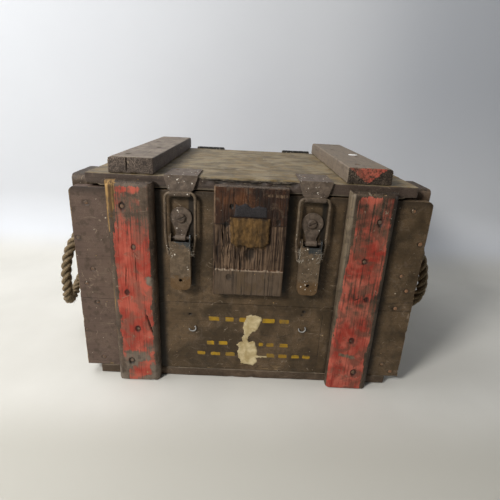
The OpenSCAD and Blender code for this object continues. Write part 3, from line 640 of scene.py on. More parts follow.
def worn_copy(name, material, body="crate", soft_edge=0.22, longest=1.6, bend=0.12, **fields):
    """A fine copy of a CAD node with soft, slightly uneven edges, which replaces it."""
    mesh = bmesh.new()
    mesh.from_mesh(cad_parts[name].data)
    mesh.transform(Matrix.Scale(1 / MM, 4))
    bmesh.ops.remove_doubles(mesh, verts=mesh.verts, dist=0.004)
    bmesh.ops.dissolve_limit(mesh, angle_limit=math.radians(0.5), verts=mesh.verts, edges=mesh.edges)
    sharp = [e for e in mesh.edges if len(e.link_faces) == 2 and e.calc_face_angle(0) > math.radians(26)]
    edges = [[np.array(v.co) for v in e.verts] for e in sharp]
    bmesh.ops.bevel(mesh, geom=sharp, offset=soft_edge, segments=2, profile=0.5, affect="EDGES", clamp_overlap=True)
    bmesh.ops.triangulate(mesh, faces=mesh.faces)
    for _ in range(7):
        long_edges = [e for e in mesh.edges if e.calc_length() > longest]
        if not long_edges:
            break
        bmesh.ops.subdivide_edges(mesh, edges=long_edges, cuts=1)
        bmesh.ops.triangulate(mesh, faces=[f for f in mesh.faces if len(f.verts) > 3])
    mesh.normal_update()
    points, normal = (np.array([getattr(v, part) for v in mesh.verts]) for part in ("co", "normal"))
    faces = [[v.index for v in f.verts] for f in mesh.faces]
    mesh.free()
    near = np.full(len(points), 9.0)
    for a, b in edges:
        t = np.clip((points - a) @ (b - a) / max((b - a) @ (b - a), 1e-9), 0, 1)
        near = np.minimum(near, np.linalg.norm(points - a - t[:, None] * (b - a), axis=1))
    if bend:
        points = points - normal * (bend * (0.5 + 0.5 * rough(points / 6, 4)))[:, None]
    made = {"edge": near, "bare": 0, "rust": 0} | {field: value(points) for field, value in fields.items()}
    return add_piece(name, points, faces, material, body, **made)


# ---- rope handles ----

LEFT_ROUTE = [
    (-184.5, -46, 178), (-191, -46, 178), (-202, -47.5, 177.5), (-214, -50.5, 174.5), (-228, -56, 167),
    (-240, -62, 152), (-247, -68, 133), (-250, -72, 113), (-251, -73, 93), (-253, -70, 76),
    (-257, -61, 63), (-261, -46, 56), (-264, -28, 56), (-266, -9, 61), (-265, 9, 71),
    (-261, 24, 85), (-254, 35, 101), (-245, 42, 119), (-234, 46, 138), (-222, 47, 155.5),
    (-209, 46.5, 169.5), (-197, 46, 176.5), (-190, 46, 178), (-184.5, 46, 178),
]
RIGHT_HALF = [
    (184.5, -46, 178), (191, -46, 178), (204, -47.5, 177.5), (218, -50.5, 173.5), (232, -55, 163),
    (241, -60, 146), (245, -64, 126), (246, -65, 106), (244, -60, 88), (241, -48, 75),
    (238, -30, 67), (237, -10, 64),
]
RIGHT_ROUTE = RIGHT_HALF + [(x, -y, z) for x, y, z in RIGHT_HALF[::-1]]
ROPE_R = 7.0
ROPE_SIDES, ROPE_STEP = 54, 0.9
KNOT_SIDES = 40
# How dark the painted shade in the rope's grooves is.
ROPE_GROOVE_SHADE = 0.8
HOLES_Y, HOLES_Z = (-46, 46), 178


def rope_radii(path, outer, sides, pitch, seed):
    """Ring radii of a three-strand rope with yarn ridges, and how deep each point lies in a groove.

    The yarns run 1.9 times round a strand in each pitch of the strands.
    """
    run = run_along(path)[:, None]
    angle = around(sides)[None]
    strand = 0.52 * outer
    orbit = outer - strand
    turn = angle - run / pitch * 2 * math.pi
    off = (turn + math.pi / 3) % (2 * math.pi / 3) - math.pi / 3
    radius = orbit * np.cos(off) + np.sqrt(np.maximum(strand ** 2 - (orbit * np.sin(off)) ** 2, 0))
    groove = smooth(0.55, 1.02, np.abs(off))
    on_strand = np.arctan2(radius * np.sin(off), radius * np.cos(off) - orbit)
    yarn = np.abs(np.sin(on_strand * 3.5 + run / pitch * 2 * math.pi * 1.9))
    radius = radius + 0.32 * (yarn - 0.7) * (1 - groove)
    where = np.stack(np.broadcast_arrays(angle * 2.1, run / 1.6, run * 0), -1).reshape(-1, 3)
    radius = radius + 0.22 * noise(where, seed).reshape(radius.shape)
    return np.minimum(radius, outer * 1.04), groove * 0.9 + 0.35 * (1 - yarn) * (1 - groove)


def fuzz(path, outer, count, seed):
    """Loose fibres that stand off a rope."""
    rng = np.random.default_rng(seed)
    ahead, side, up = ring_frames(path)
    parts = []
    for _ in range(count):
        i = rng.integers(2, len(path) - 2)
        a = rng.uniform(0, 2 * math.pi)
        out = math.cos(a) * side[i] + math.sin(a) * up[i]
        lean = ahead[i] * rng.uniform(-1.2, 1.2) + np.cross(ahead[i], out) * rng.uniform(-1, 1)
        reach = rng.uniform(2.5, 7.0)
        t = np.linspace(0, 1, 6)[:, None]
        sag = np.array([0, 0, -1.0]) * rng.uniform(0, 0.35)
        hair = path[i] + out * (outer - 0.8) + reach * (
            (out * 0.45 + lean * 0.5) * t + (lean * 0.4 + sag - out * 0.15) * t * t)
        parts.append(tube(hair, 0.13 - 0.09 * t[:, 0], 3))
    return joined(parts)


def knot_path(x, y, side):
    """A stopper knot in the end of the rope: turns round the rope."""
    t = np.linspace(0, 1, 90)
    turn = t * 2 * math.pi * 2.6
    swing = 7.2 + 1.2 * np.sin(turn * 1.4)
    along = x - side * (4.6 + 14.5 * t)
    return np.stack([along + 1.4 * np.sin(turn), y + swing * np.cos(turn), HOLES_Z + swing * np.sin(turn)], 1)


def rope_handle(side, route):
    """One handle: the rope, its loose fibres, and the knots and short ends inside the board."""
    word = "left" if side < 0 else "right"
    path = smooth_path(route, ROPE_STEP)
    radii, groove = rope_radii(path, ROPE_R - 0.1, ROPE_SIDES, 34, 5 + side)
    # Painted shade: the rope darkens in the grooves between its strands and yarns.
    dirt = np.append(groove, [0.5, 0.5]) * ROPE_GROOVE_SHADE
    rope = add_piece(f"rope_handle_{word}", *tube(path, radii, ROPE_SIDES), "hemp_rope", dirt=dirt)
    loose = add_piece(f"rope_fibres_{word}", *fuzz(path, ROPE_R, 520, 40 + side), "hemp_rope", dirt=0)
    low, high = box(f"end_board_{word}_upper")
    inner, outer = (low[X], high[X])[::side]
    parts, dirts = [], []
    for y in HOLES_Y:
        stub = [(x, y, HOLES_Z) for x in (outer, inner, inner - side * 6, inner - side * 20)]
        knot = knot_path(inner - side * 0.5, y, side)[::6]
        for line, size in ((stub, 6.7), (knot, 5.4)):
            line = smooth_path(line, ROPE_STEP)
            radii, groove = rope_radii(line, size, KNOT_SIDES, 30, 9)
            parts.append(tube(line, radii, KNOT_SIDES))
            dirts.append(np.append(groove, [0, 0]))
        tail = smooth_path([stub[-1], (inner - side * 22.5, y + 1, HOLES_Z - 1)], ROPE_STEP)
        tail = np.repeat(tail, 3, axis=0) + np.linspace(0, 0.5, 3 * len(tail))[:, None]
        parts.append(fuzz(tail, 4.5, 60, 70 + y))
        dirts.append(np.zeros(len(parts[-1][0])))
    knots = add_piece(f"rope_knots_{word}", *joined(parts), "hemp_rope", dirt=np.concatenate(dirts) * ROPE_GROOVE_SHADE)
    line = smooth_path(route, 4.0) * MM


# ---- nails ----

LEFT_BATTEN_NAILS = [(-140, 229), (-130, 182), (-141, 125), (-131, 76), (-141, 29)]
RIGHT_BATTEN_NAILS = [(142, 224), (132, 177), (141, 129), (131, 72), (140, 25)]
BATTEN_NAILS = LEFT_BATTEN_NAILS + RIGHT_BATTEN_NAILS
EDGE_NAILS = [(-184, 228), (-197, 186), (-184, 147), (-193, 128), (-182, 103), (-199, 63), (-181, 23),
              (182, 235), (197, 196), (183, 155), (192, 136), (183, 112), (180, 30), (192, 19)]
NAIL_R = 2.6


def nail_head(rng, spot, axis, drop, radius):
    """One uneven nail head whose rings lie drop below the spot."""
    path = np.asarray(spot, float) - drop[:, None] * axis
    grow = np.array([0.95, 1.0, 0.93, 0.6, 0.2]) * radius
    return tube(path, grow[:, None] * (1 + 0.05 * rng.standard_normal((1, 20))), 20)


def nail_heads(name, spots, body, out, sunk, size, seed):
    """Slightly tilted nail heads in place of the CAD node; out is the outward direction. The rightmost are rustiest."""
    rng = np.random.default_rng(seed)
    drop = np.array([2.2, 0.55, 0.22, 0.05, 0.0]) + sunk
    parts = []
    for spot in spots:
        axis = out + rng.uniform(-0.07, 0.07, 3)
        parts.append(nail_head(rng, spot, axis, drop, NAIL_R * size * rng.uniform(0.9, 1.06)))
    points, faces = joined(parts)
    worn = smooth(160, 175, points[:, X])
    rust = np.clip(0.3 * noise(points / 9, seed), -0.2, 0.3) + 0.2 * worn
    add_piece(name, points, faces, "nail_rust", body, edge=5, bare=0.5 * worn, rust=rust)


def end_nail_heads(name, spots):
    """Nail heads on both ends of the crate, in one piece."""
    rng = np.random.default_rng(8)
    drop = np.array([2.4, 0.7, 0.4, 0.2, 0.15])
    parts = []
    for spot in spots:
        axis = np.array([math.copysign(1, spot[X]), 0, 0]) + rng.uniform(-0.06, 0.06, 3)
        parts.append(nail_head(rng, spot, axis, drop, NAIL_R))
    points, faces = joined(parts)
    add_piece(name, points, faces, "nail_rust", edge=5, bare=0, rust=0.3 * noise(points / 9, 8))


def nail_dents(spots, y, seed, radius=2.7, deep=1.0, dirt=0.4):
    """Small hollows round nail heads on a front or back face, darkened with dirt and painted shade."""
    rng = np.random.default_rng(seed)
    return [((x + rng.uniform(-0.4, 0.4), y, z), radius * rng.uniform(0.85, 1.15), deep * rng.uniform(0.5, 1.2), dirt)
            for x, z in spots]


# ---- walls, ends and floor ----

front = box("front_board_upper")[0][Y]
back = box("rear_board_upper")[1][Y]


def yellow_bars(points, normal):
    """Signed distance inside three rows of plain worn bars, in millimetres."""
    rows = [(87, 3.0, [(-46, -33), (-25, -15), (-8, 2), (21, 36), (42, 54)]),
            (52, 2.7, [(-48, -39), (-33, -22), (18, 24), (27, 37), (45, 55)]),
            (36, 2.7, [(-60, -50), (-43, -31), (-24, -12), (29, 39), (44, 55), (61, 71), (75, 85)])]
    best = np.full(len(points), -20.0)
    for middle, half, spans in rows:
        for a, b in spans:
            inside = np.minimum(half - np.abs(points[:, Z] - middle), (b - a) / 2 - np.abs(points[:, X] - (a + b) / 2))
            best = np.maximum(best, inside)
    return np.where(normal[:, Y] < -0.8, best, -20.0)


def painted_sheen_left(flat, normal):
    """Painted sheen: the paint is greyer on the left of the front, standing in for the pale reflection of the light
    there.
    """
    return {"tone": smooth(-95, -175, flat[:, X]) * 0.75}


def painted_shade(flat, normal):
    """Painted shade on the front boards: shadows cast to the right of the battens, the block and the latches, thin dark
    bands along their left sides, and shade under the block and the lid.
    """
    x, z = flat[:, X], flat[:, Z]
    spread = 1 + 0.4 * rough(flat / [9, 9, 16], 44, 2)
    full = -9
    dark = np.zeros(len(flat))
    # Painted shade: cast shadows to the right of each raised part, and thin dark bands along its left side.
    for side, edge, reach, low in ((1, -106.5, 12, full), (1, 40.75, 11, 126), (1, -66, 6, 131), (1, 82, 6, 131),
                                   (1, 159.1, 8, full), (-1, 106.5, 3, full), (-1, -40.75, 3, 126),
                                   (-1, -159.1, 2, full)):
        gap = side * (x - edge)
        share, solid = (0.96, 0.35 * reach) if side > 0 else (0.7, 0.3)
        tall = smooth(low - 4, low + 3, z)
        dark = np.maximum(dark, share * smooth(reach * spread, solid, gap) * (gap > -3) * tall)
    under_block = smooth(9, 1, 127 - z) * (z < 128) * smooth(46, 40, np.abs(x))
    under_lid = smooth(232, 246, z) * 0.7
    return np.maximum.reduce([dark, 0.5 * under_block, under_lid * smooth(0, 1, spread)]) * (normal[:, Y] < -0.5)


def side_wear(flat):
    """Wood showing along a board's two end edges."""
    x = flat[:, X]
    return 0.26 * smooth(2.4, 0.8, np.minimum(x - x.min(), x.max() - x) + 0.8 * rough(flat / [3, 3, 12], 19, 2))


def closed(facing):
    """How far a face that meets another board is filled, so that the seam nearly closes."""
    return 0.35 * smooth(0.3, 0.7, facing)


def upper_shade_and_wear(flat, normal):
    """Upper front board: filled seam below, painted shade, and worn ends."""
    return -closed(-normal[:, Z]), painted_shade(flat, normal), side_wear(flat)


def chipped_foot(flat, normal):
    """Lower front board: filled seam above, painted shade, worn ends, and broken paint and wood along the lower edge.
    """
    x, height = flat[:, X], flat[:, Z] - flat[:, Z].min()
    torn = smooth(0.15, 0.5, rough(flat / [9, 9, 5], 5, 3)) * smooth(9, 0, height)
    chip = smooth(0.0, 0.3, rough(flat / [7, 7, 4], 14, 3)) * smooth(4.5, 2, np.abs(height - 6))
    chip = chip * smooth(-8, 0, x) * smooth(50, 43, x) * (normal[:, Y] < -0.5)
    return (0.5 * torn + 0.5 * chip - closed(normal[:, Z]), painted_shade(flat, normal) * (1 - chip),
            0.55 * torn + chip + side_wear(flat))


def make_walls():
    for name, face, y in (("front", -1, front), ("rear", 1, back)):
        for part, seed, seam in (("lower", 11, 1), ("upper", 12, -1)):
            node = f"{name}_board_{part}"
            low, high = box(node)
            dents = nail_dents([(x, z) for x, z in EDGE_NAILS if low[Z] + 3 < z < high[Z] - 3], y, seed)
            bevels = [((Y, Z), (face, seam), 0.15, 2)]
            if part == "upper":
                bevels += [((X, Z), (-1, 1), 7.5, 1.6), ((X, Z), (1, 1), 6.0, 1.6)]
            shape, mark, cracks = None, None, []
            if face < 0 and part == "lower":
                dents += [((-69, y, 92), 1.3, 2.2, 1.0), ((71, y, 102), 1.5, 1.2, 0.8), ((69, y, 97), 1.0, 0.7, 0.6)]
                shape, mark = chipped_foot, yellow_bars
                cracks = [((94, y, 14), (95, y, 106), 0.35, 0.35, 0.3), ((40, y, 62), (58, y, 71), 0.5, 0.12, 0.6)]
            elif face < 0:
                shape = upper_shade_and_wear
                cracks = [((167, y, 118), (203, y, 121), 0.5, 0.25, 0.5),
                          ((-110, y, 150), (-98, y, 151), 0.4, 0.3, 0.3)]
            plank(node, X, "painted_x", "painted_boards", step=(2.0, 3.0, 1.5) if face < 0 else (3.2, 3.2, 2.4),
                  edge=0.9, dents=dents, cracks=cracks, bare=[(Y, -face)], mark=mark, shape=shape,
                  seed=seed + 20 * (face > 0), kept=[(Z, seam)], bevels=bevels, more=painted_sheen_left)


def cut_rope_holes(piece, x, radius=8.0, reach=30):
    """Cuts the two rope holes through an upper end board whose outer face is at x."""
    points, faces = joined([
        tube([(x - reach, y, HOLES_Z), (x, y, HOLES_Z), (x + reach, y, HOLES_Z)], radius, 40) for y in HOLES_Y])
    mesh = bpy.data.meshes.new("cutter")
    mesh.from_pydata((points * MM).tolist(), [], faces)
    cutter = bpy.data.objects.new("cutter", mesh)
    scene.collection.objects.link(cutter)
    cut = piece.modifiers.new("holes", "BOOLEAN")
    cut.object = cutter
    cut.operation = "DIFFERENCE"
    cut.solver = "EXACT"
    done = bpy.data.meshes.new_from_object(piece.evaluated_get(bpy.context.evaluated_depsgraph_get()))
    piece.modifiers.clear()
    piece.data = done
    bpy.data.objects.remove(cutter)


def make_ends():
    def nails(side, y_sides):
        """Nail spots on the front posts, rear posts or both at one end, row by row."""
        return [(side * 203, y * (110 - 26 * col), 38 + 62 * row + 9 * col)
                for row in range(4) for y in y_sides for col in (0, 1)]

    for side, word in ((-1, "left"), (1, "right")):
        for part in ("lower", "upper"):
            node = f"end_board_{word}_{part}"
            piece = plank(node, Y, "painted_y", "painted_boards", step=(3, 2.8, 2.0), edge=1.0, bare=[(X, -side)],
                          seed=31 + side + 5 * (part == "upper"))
            if part == "upper":
                cut_rope_holes(piece, box(node)[side > 0][X])
        for y, part in ((-1, "front"), (1, "rear")):
            plank(f"post_{word}_{part}", Z, "painted_z", "painted_boards", step=(2.6, 1.8, 2.6), edge=1.5,
                  bevels=[((Y, Z), (-1, 1), 9.0, 2), ((Y, Z), (1, 1), 9.0, 2)],
                  dents=[(spot, 3.0, 0.7, 0.5) for spot in nails(side, [y])], seed=51 + side + 7 * y)
    end_nail_heads("nails_ends", nails(-1, [-1, 1]) + nails(1, [-1, 1]))


def make_floor_boards():
    for i, word in enumerate(("front", "middle", "rear")):
        plank(f"floor_board_{word}", X, "floor_wood", "floor_wood", step=(3.5, 2.4, 4), edge=1.2, bare=[(Z, 1)],
              chips=1.4, seed=71 + i)


# ---- upright battens ----

def red_left(points, normal):
    """Signed distance inside the red paint of the left upright battens."""
    x, z = points[:, X], points[:, Z]
    wave = 1.5 * rough(points / [14, 14, 22], 6, 2)
    left = x + 151.0 - wave - 6 * smooth(45, 15, z) - 3.5 * smooth(185, 235, z)
    inside = np.minimum(np.minimum(left, -112.5 - x + wave), 250.5 - z)
    return np.where(np.abs(normal[:, Y]) > 0.8, inside, -5.0)


def red_right(points, normal):
    """Signed distance inside the red paint of the right upright battens."""
    x, z = points[:, X], points[:, Z]
    wave = 1.8 * rough(points / [14, 14, 20], 7, 2)
    left = 116 - 6 * smooth(215, 140, z) - 5 * smooth(130, 60, z)
    right = 153 - 3 * smooth(90, 40, z)
    inside = np.minimum(np.minimum(x - left - wave, right - x + wave), 251 - z)
    return np.where(np.abs(normal[:, Y]) > 0.45, inside, -5.0)


def left_wear(flat, normal):
    """Bare ochre wood down the left bevel, and red paint worn thin near the top nail and at the foot."""
    x, z = flat[:, X], flat[:, Z]
    uneven = rough(flat / [7, 7, 13], 8, 3)
    width = 5.4 + 6.0 * smooth(165, 235, z) + 2.6 * uneven
    bevel = smooth(width + 2.5, width - 1.5, x + 159.1) * (0.06 + 0.43 * smooth(175, 232, z) + 0.25 * uneven)
    worn_spot = smooth(7, 1.5, np.hypot(x + 115, (z - 141) * 0.8) + 3 * rough(flat / 3, 9, 3))
    low_patch = smooth(-0.25, 0.35, rough(flat / [11, 11, 13], 9, 3)) * smooth(75, 25, z)
    top = smooth(203, 226, z) * smooth(246.5, 243.0, z + 1.8 * rough(flat / [3, 3, 4], 18, 2))
    fade = top * (0.40 + 0.22 * smooth(-146, -132, x) + 0.3 * uneven) + worn_spot + low_patch
    fade = fade + 0.3 * smooth(185, 212, z) * (1 - top) * smooth(243, 240, z)
    fade = fade + 0.2 * smooth(-124, -118, x) * smooth(120, 190, z)
    gaps = smooth(-0.1, 0.5, rough(flat / [4, 4, 3], 21, 3))
    fade = fade + smooth(242, 245, z) * (0.5 * smooth(-126, -118, x) + 0.55 * gaps)
    return {"bare": bevel, "fade": fade, "tone": 0.8 * np.maximum(worn_spot, 0.7 * low_patch)}


def right_wear(flat, normal):
    """Red paint worn in streaks, most near the top, a pale left bevel, worn and painted paler as a highlight where it
    faces the light, and one pale scuff low down.
    """
    x, z = flat[:, X], flat[:, Z]
    fade = 0.33 * smooth(150, 235, z) + 0.16 * smooth(60, 100, z) * smooth(170, 120, z)
    fade = fade + 0.3 * smooth(142, 151, x) * smooth(180, 120, z) - 0.4 * smooth(110, 60, z)
    fade = fade - 0.6 * smooth(243, 246, z) * smooth(146, 134, x)
    fade = fade - 0.5 * smooth(9, 4, np.hypot(x - 146, (z - 195) * 0.6) + 2.5 * rough(flat / 4, 14, 2))
    scuff = smooth(4.5, 1.5, np.abs(z - 50 + 0.25 * (x - 126)) + 2.0 * rough(flat / 2.5, 10, 3))
    scuff = scuff * smooth(115, 119, x) * smooth(141, 136, x)
    streaks = rough(flat / [5, 5, 26], 12, 3)
    # Worn paint and painted highlight: the faces turned to the left, towards the light, are paler.
    bevel = smooth(-0.3, -0.55, normal[:, X]) * np.clip(0.35 + 0.45 * smooth(60, 220, z) + 0.7 * streaks, 0, 1)
    return {"fade": fade + 0.9 * scuff, "tone": np.maximum(scuff, bevel)}


def make_battens():
    bevel = 5.8
    cracked = {
        "left": [((-139, 160), (-141, 131), 0.55, 1.2, 1.1), ((-128, 170), (-128.5, 138), 0.5, 1.0, 0.9),
                 ((-120, 98), (-112, 70), 1.3, 2.6, 0.8), ((-133, 178), (-126, 172), 0.45, 0.7, 0.4)],
        "right": [((138, 150), (139, 134), 0.4, 0.6, 0.6), ((127, 128), (133, 130), 0.8, 0.6, 0.3)]}
    for face, word in ((-1, "front"), (1, "rear")):
        for side, nails, mark, wear in (("left", LEFT_BATTEN_NAILS, red_left, left_wear),
                                        ("right", RIGHT_BATTEN_NAILS, red_right, right_wear)):
            node = f"batten_{word}_{side}"
            y = box(node)[face > 0][Y]
            cracks = [((a[0], y, a[1]), (b[0], y, b[1]), *rest) for a, b, *rest in cracked[side] if face < 0]
            plank(node, Z, f"red_{side}", "red_paint_wood", step=(1.1, 1.6, 1.8), edge=1.2,
                  bevels=[((X, Y), (-1, face), bevel, 1.35), ((X, Y), (1, face), bevel, 1.35),
                          ((Y, Z), (face, 1), bevel, 1.4)],
                  dents=nail_dents(nails, y, 5, 3.1, 1.5, 0.9), cracks=cracks, bare=[(Y, -face)], grain_depth=0.34,
                  mark=mark, more=wear, seed=81 + face + 3 * (side == "left"))
    batten_front = box("batten_front_left")[0][Y]
    nail_heads("batten_nails_front", [(x, batten_front, z) for x, z in BATTEN_NAILS], "crate", (0, -1, 0), 1.3, 0.95, 4)
    nail_heads("edge_nails_front", [(x, front, z) for x, z in EDGE_NAILS], "crate", (0, -1, 0), 0.55, 0.95, 5)
    rear = [(x, back + 13.2, z) for x, z in BATTEN_NAILS] + [(x, back, z) for x, z in EDGE_NAILS]
    nail_heads("nails_rear", rear, "crate", (0, 1, 0), 0.7, 0.95, 6)


# ---- lid ----

def splintered(flat, normal):
    """Broken front edge of the lid between the latches."""
    x, y, z = flat.T
    along = smooth(-60, -48, x) * smooth(56, 44, x)
    ragged = rough(flat / [9, 4, 2.6], 15, 3)
    fine = rough(flat / [4, 1.5, 1.1], 16, 2)
    corner = np.hypot((y - y.min()) * 0.9, (z.max() - z) * 0.75)
    bite = along * smooth(5.6, 1.6, corner + 3.2 * ragged - 1.0)
    lip = smooth(0.5, 0.8, -normal[:, Z]) * smooth(-128, -130.5, y) * smooth(170, 167, np.abs(x))
    dark = bite * (0.45 + 0.55 * smooth(0.2, -0.3, fine))
    return bite * (2.9 + 1.5 * fine) - 1.8 * lip, dark, 0.25 * smooth(0.1, 0.5, bite)


def lid_marks(flat, normal):
    """Scuffs on the lid's top."""
    torn = smooth(0.35, 0.6, rough(flat / [30, 5, 5], 25, 3)) * (normal[:, Z] > 0.8)
    return 0.25 * torn, 0.12 * torn, 0.1 * torn


def on_top(flat, normal):
    """Lid paint lies on the upward faces only."""
    return (normal[:, Z] - 0.72) * 14


def red_end(points, normal):
    """Red paint in a triangle on the front end of the right lid batten."""
    x, z = (points[:, X].min() + points[:, X].max()) / 2, points[:, Z].max()
    inside = 21.5 - np.abs(points[:, X] - x + 2.5) - (z - points[:, Z]) * 1.22
    return np.where((normal[:, Y] < -0.7) & (z - points[:, Z] < 17.5), inside, -20.0)


def pale_top_lit_side(flat, normal):
    """Paler paint on the top of the right lid batten, a painted highlight on its side turned to the left towards the
    light, and less dark end grain under its red mark.
    """
    end = smooth(0.6, 0.85, -normal[:, Y])
    # Painted highlight: the side turned to the left is paler.
    return {"tone": 0.9 * smooth(0.5, 0.8, normal[:, Z]) + 0.6 * smooth(0.5, 0.8, -normal[:, X]), "end": 1.5 * end,
            "fade": 0.15 * end}


def shaded_inner_side(flat, normal):
    """Painted shade: dark paint on the side of the left lid batten that faces the middle of the lid, away from the
    light.
    """
    return {"tone": 0.9 * smooth(0.5, 0.8, normal[:, X])}


def dark_front(flat, normal):
    """Darker colour on the lid's upright faces than on its top."""
    return {"tone": 0.8 * smooth(0.7, 0.4, normal[:, Z])}


def make_lid():
    top = box("lid_board_front")[1][Z]
    cracks = [((-10, -96, top), (32, -97, top), 0.4, 0.5, 0.7), ((-26, -104, top), (-17, -109, top), 0.6, 0.7, 0.3),
              ((36, -101, top), (44, -102, top), 0.5, 0.5, 0.3)]
    plank("lid_board_front", X, "lid_wood", "lid_wood", "lid", (1.9, 1.3, 1.6), 1.6, cracks=cracks, bare=[(Z, -1)],
          chips=1.2, shape=splintered, mark=on_top, seed=101, kept=[(Z, -1)], more=dark_front)
    top = box("lid_board_rear")[1][Z]
    cracks = [((-87, 11.5, top), (-66, 11.5, top), 0.9, 1.4, 0.3), ((4, 92.5, top), (25, 92.5, top), 0.9, 1.4, 0.3),
              ((-20, -40, top), (70, -42, top), 0.35, 0.4, 0.8), ((-60, 40, top), (30, 41, top), 0.35, 0.4, 0.8)]
    plank("lid_board_rear", X, "lid_wood", "lid_wood", "lid", (2.6, 1.8, 3.0), 1.3, cracks=cracks, bare=[(Z, -1)],
          shape=lid_marks, mark=on_top, seed=102, more=dark_front)
    nails = []
    for side, word, look, mark, more in ((-1, "left", "batten_wood", on_top, shaded_inner_side),
                                         (1, "right", "batten_red_end", red_end, pale_top_lit_side)):
        low, high = box(f"lid_batten_{word}")
        x = (low[X] + high[X]) / 2
        cracks = [((x - 3.5, low[Y], high[Z]), (x - 4.5, low[Y], low[Z] + 2), 0.7, 2.2, 0.9)] if side < 0 else []
        spots = [(x + (9 if i % 2 else -9), -112 + 75 * i, high[Z]) for i in range(4)]
        dents = [(spot, 2.8, 1.0, 0.6) for spot in spots]
        nails += spots
        plank(f"lid_batten_{word}", Y, look, "batten_wood", "lid", (1.6, 2.4, 1.5), 1.7, dents=dents, cracks=cracks,
              bare=[(Z, -1)], grain_depth=0.32, mark=mark, seed=111 + side, more=more,
              bevels=[((Y, Z), (1, 1), 11, 1.7), ((X, Z), (side, 1), 4.5, 1.7)])
    nail_heads("lid_nails", nails, "lid", (0, 0, 1), 0.8, 0.9, 7)
    top = box("keeper_nails")[1][Z] - 0.6
    nails = [(x + dx, front + dy, top)
             for x, pair in ((-78, ((-10, 35), (13, 19))), (70, ((-10, 30), (11, 21)))) for dx, dy in pair]
    nail_heads("keeper_nails", nails, "lid", (0, 0, 1), -0.35, 0.95, 8)


# ---- block ----

BLOCK_LINE = 158
BLOCK_STEP = 214


def block_looks(flat, normal):
    """Deep weathering above the paint line, a hole under the tab, and a painted foot; the grooves and the hole are
    darkened with dirt and painted shade.
    """
    x, z = flat[:, X], flat[:, Z]
    outer = normal[:, Y] < -0.6
    line = BLOCK_LINE + 1.2 * noise(flat / 4, 3)
    above = smooth(line - 0.8, line + 0.8, z) * outer
    upper = smooth(BLOCK_STEP - 2, BLOCK_STEP, z)
    drift = flat + [0.8, 0, 0] * noise(flat / [9, 9, 14], 32)[:, None]
    ridges = smooth(-0.05, 0.55, rough(drift * [0.75, 0.3, 0.045], 33, 3))
    deep = 0.3 + 0.7 * smooth(0.5, -0.3, rough(flat / [20, 20, 26], 34, 2) + 0.012 * x)
    ridges = ridges * np.where(upper > 0.5, 0.25, deep)
    hole = smooth(9, 3, np.hypot((x - 1) * 1.0, (z - 180) * 0.75) + 2.5 * rough(flat / [3, 3, 8], 35, 2))
    # Dirt and painted shade in the grooves and in the hole under the tab.
    dirt = above * smooth(0.4, 0.9, ridges) * 0.7 + hole * 0.85 * outer
    step = smooth(1.3, 0.2, np.abs(z - BLOCK_STEP)) * smooth(22, 26, np.abs(x)) * outer
    worn = smooth(2.4, 0.6, np.abs(z - 247.5) + 1.3 * rough(flat / [3, 3, 2], 37, 2))
    worn = 0.55 * worn * smooth(12, 17, x) * smooth(39, 37, x)
    bare = above * (1 - upper) * 0.5 * smooth(160, 161.5, z) + 0.3 * smooth(-37.5, -39.5, x) + worn * outer
    return above * (0.3 + 1.6 * ridges) + 2.6 * hole * outer, dirt + 0.6 * step, bare


def block_tones(flat, normal):
    """A pale torn line above the block's painted foot, rims painted paler as highlights on the faces turned left and
    up, and a tarry upper right.
    """
    x, z = flat[:, X], flat[:, Z]
    outer = normal[:, Y] < -0.6
    torn = smooth(1.5, 0.5, np.abs(z - BLOCK_LINE - 0.8 - 1.2 * noise(flat / 4, 3)) + 0.9 * noise(flat / 1.6, 36))
    # Painted highlight: the faces turned to the left and upwards are paler.
    rim = 0.35 * smooth(0.35, 0.6, -normal[:, X]) + 0.5 * smooth(0.4, 0.7, normal[:, Z])
    tarry = smooth(-18, 12, x) * smooth(BLOCK_STEP - 2, BLOCK_STEP + 1, z)
    tarry = np.clip(tarry * (0.7 + 0.8 * rough(flat / [6, 6, 12], 38, 3)), 0, 1) * outer
    return {"tone": np.clip(torn * outer + rim, 0, 1), "end": smooth(0.6, 0.85, np.abs(normal[:, Z])) + tarry}


def block_foot(points, normal):
    """Brown paint left on the block's foot."""
    return BLOCK_LINE - points[:, Z]


def make_block():
    y = box("seal_block")[0][Y]
    dents = [((-22, y, 150), 2.8, 0.7, 0.6), ((26, y, 150.5), 2.8, 0.25, 0.2), ((-21, y, 234), 2.0, 1.6, 1.0),
             ((31, y, 218), 2.2, 0.9, 0.8), ((-27, y, 213), 2.4, 0.9, 0.9)]
    cracks = [((-31, y, 209), (-29, y, 168), 0.6, 1.3, 1.0), ((-25, y, 208), (-23, y, 175), 0.5, 1.4, 0.9),
              ((14, y, 184), (12, y, 166), 0.6, 1.3, 0.7), ((-12, y, 184), (-9, y, 160), 0.5, 1.0, 0.8),
              ((-17, y, 240), (-14, y, 225), 0.6, 1.2, 0.6), ((-6, y, 248), (-2, y, 236), 0.5, 0.9, 0.6),
              ((24, y, 205), (25, y, 162), 0.4, 0.7, 0.8), ((33, y, 200), (32, y, 170), 0.4, 0.6, 0.8)]
    plank("seal_block", Z, "seal_block_wood", "seal_block_wood", step=(0.95, 1.3, 1.5), edge=1.5, dents=dents,
          cracks=cracks, bare=[(Y, 1)], mark=block_foot, shape=block_looks, grain_depth=0.22, seed=121,
          more=block_tones)


# ---- thin pieces ----

def upright(flat, y=0.0):
    """Points at y from rows of x and z."""
    return np.stack([flat[:, 0], np.full(len(flat), y), flat[:, 1]], 1)


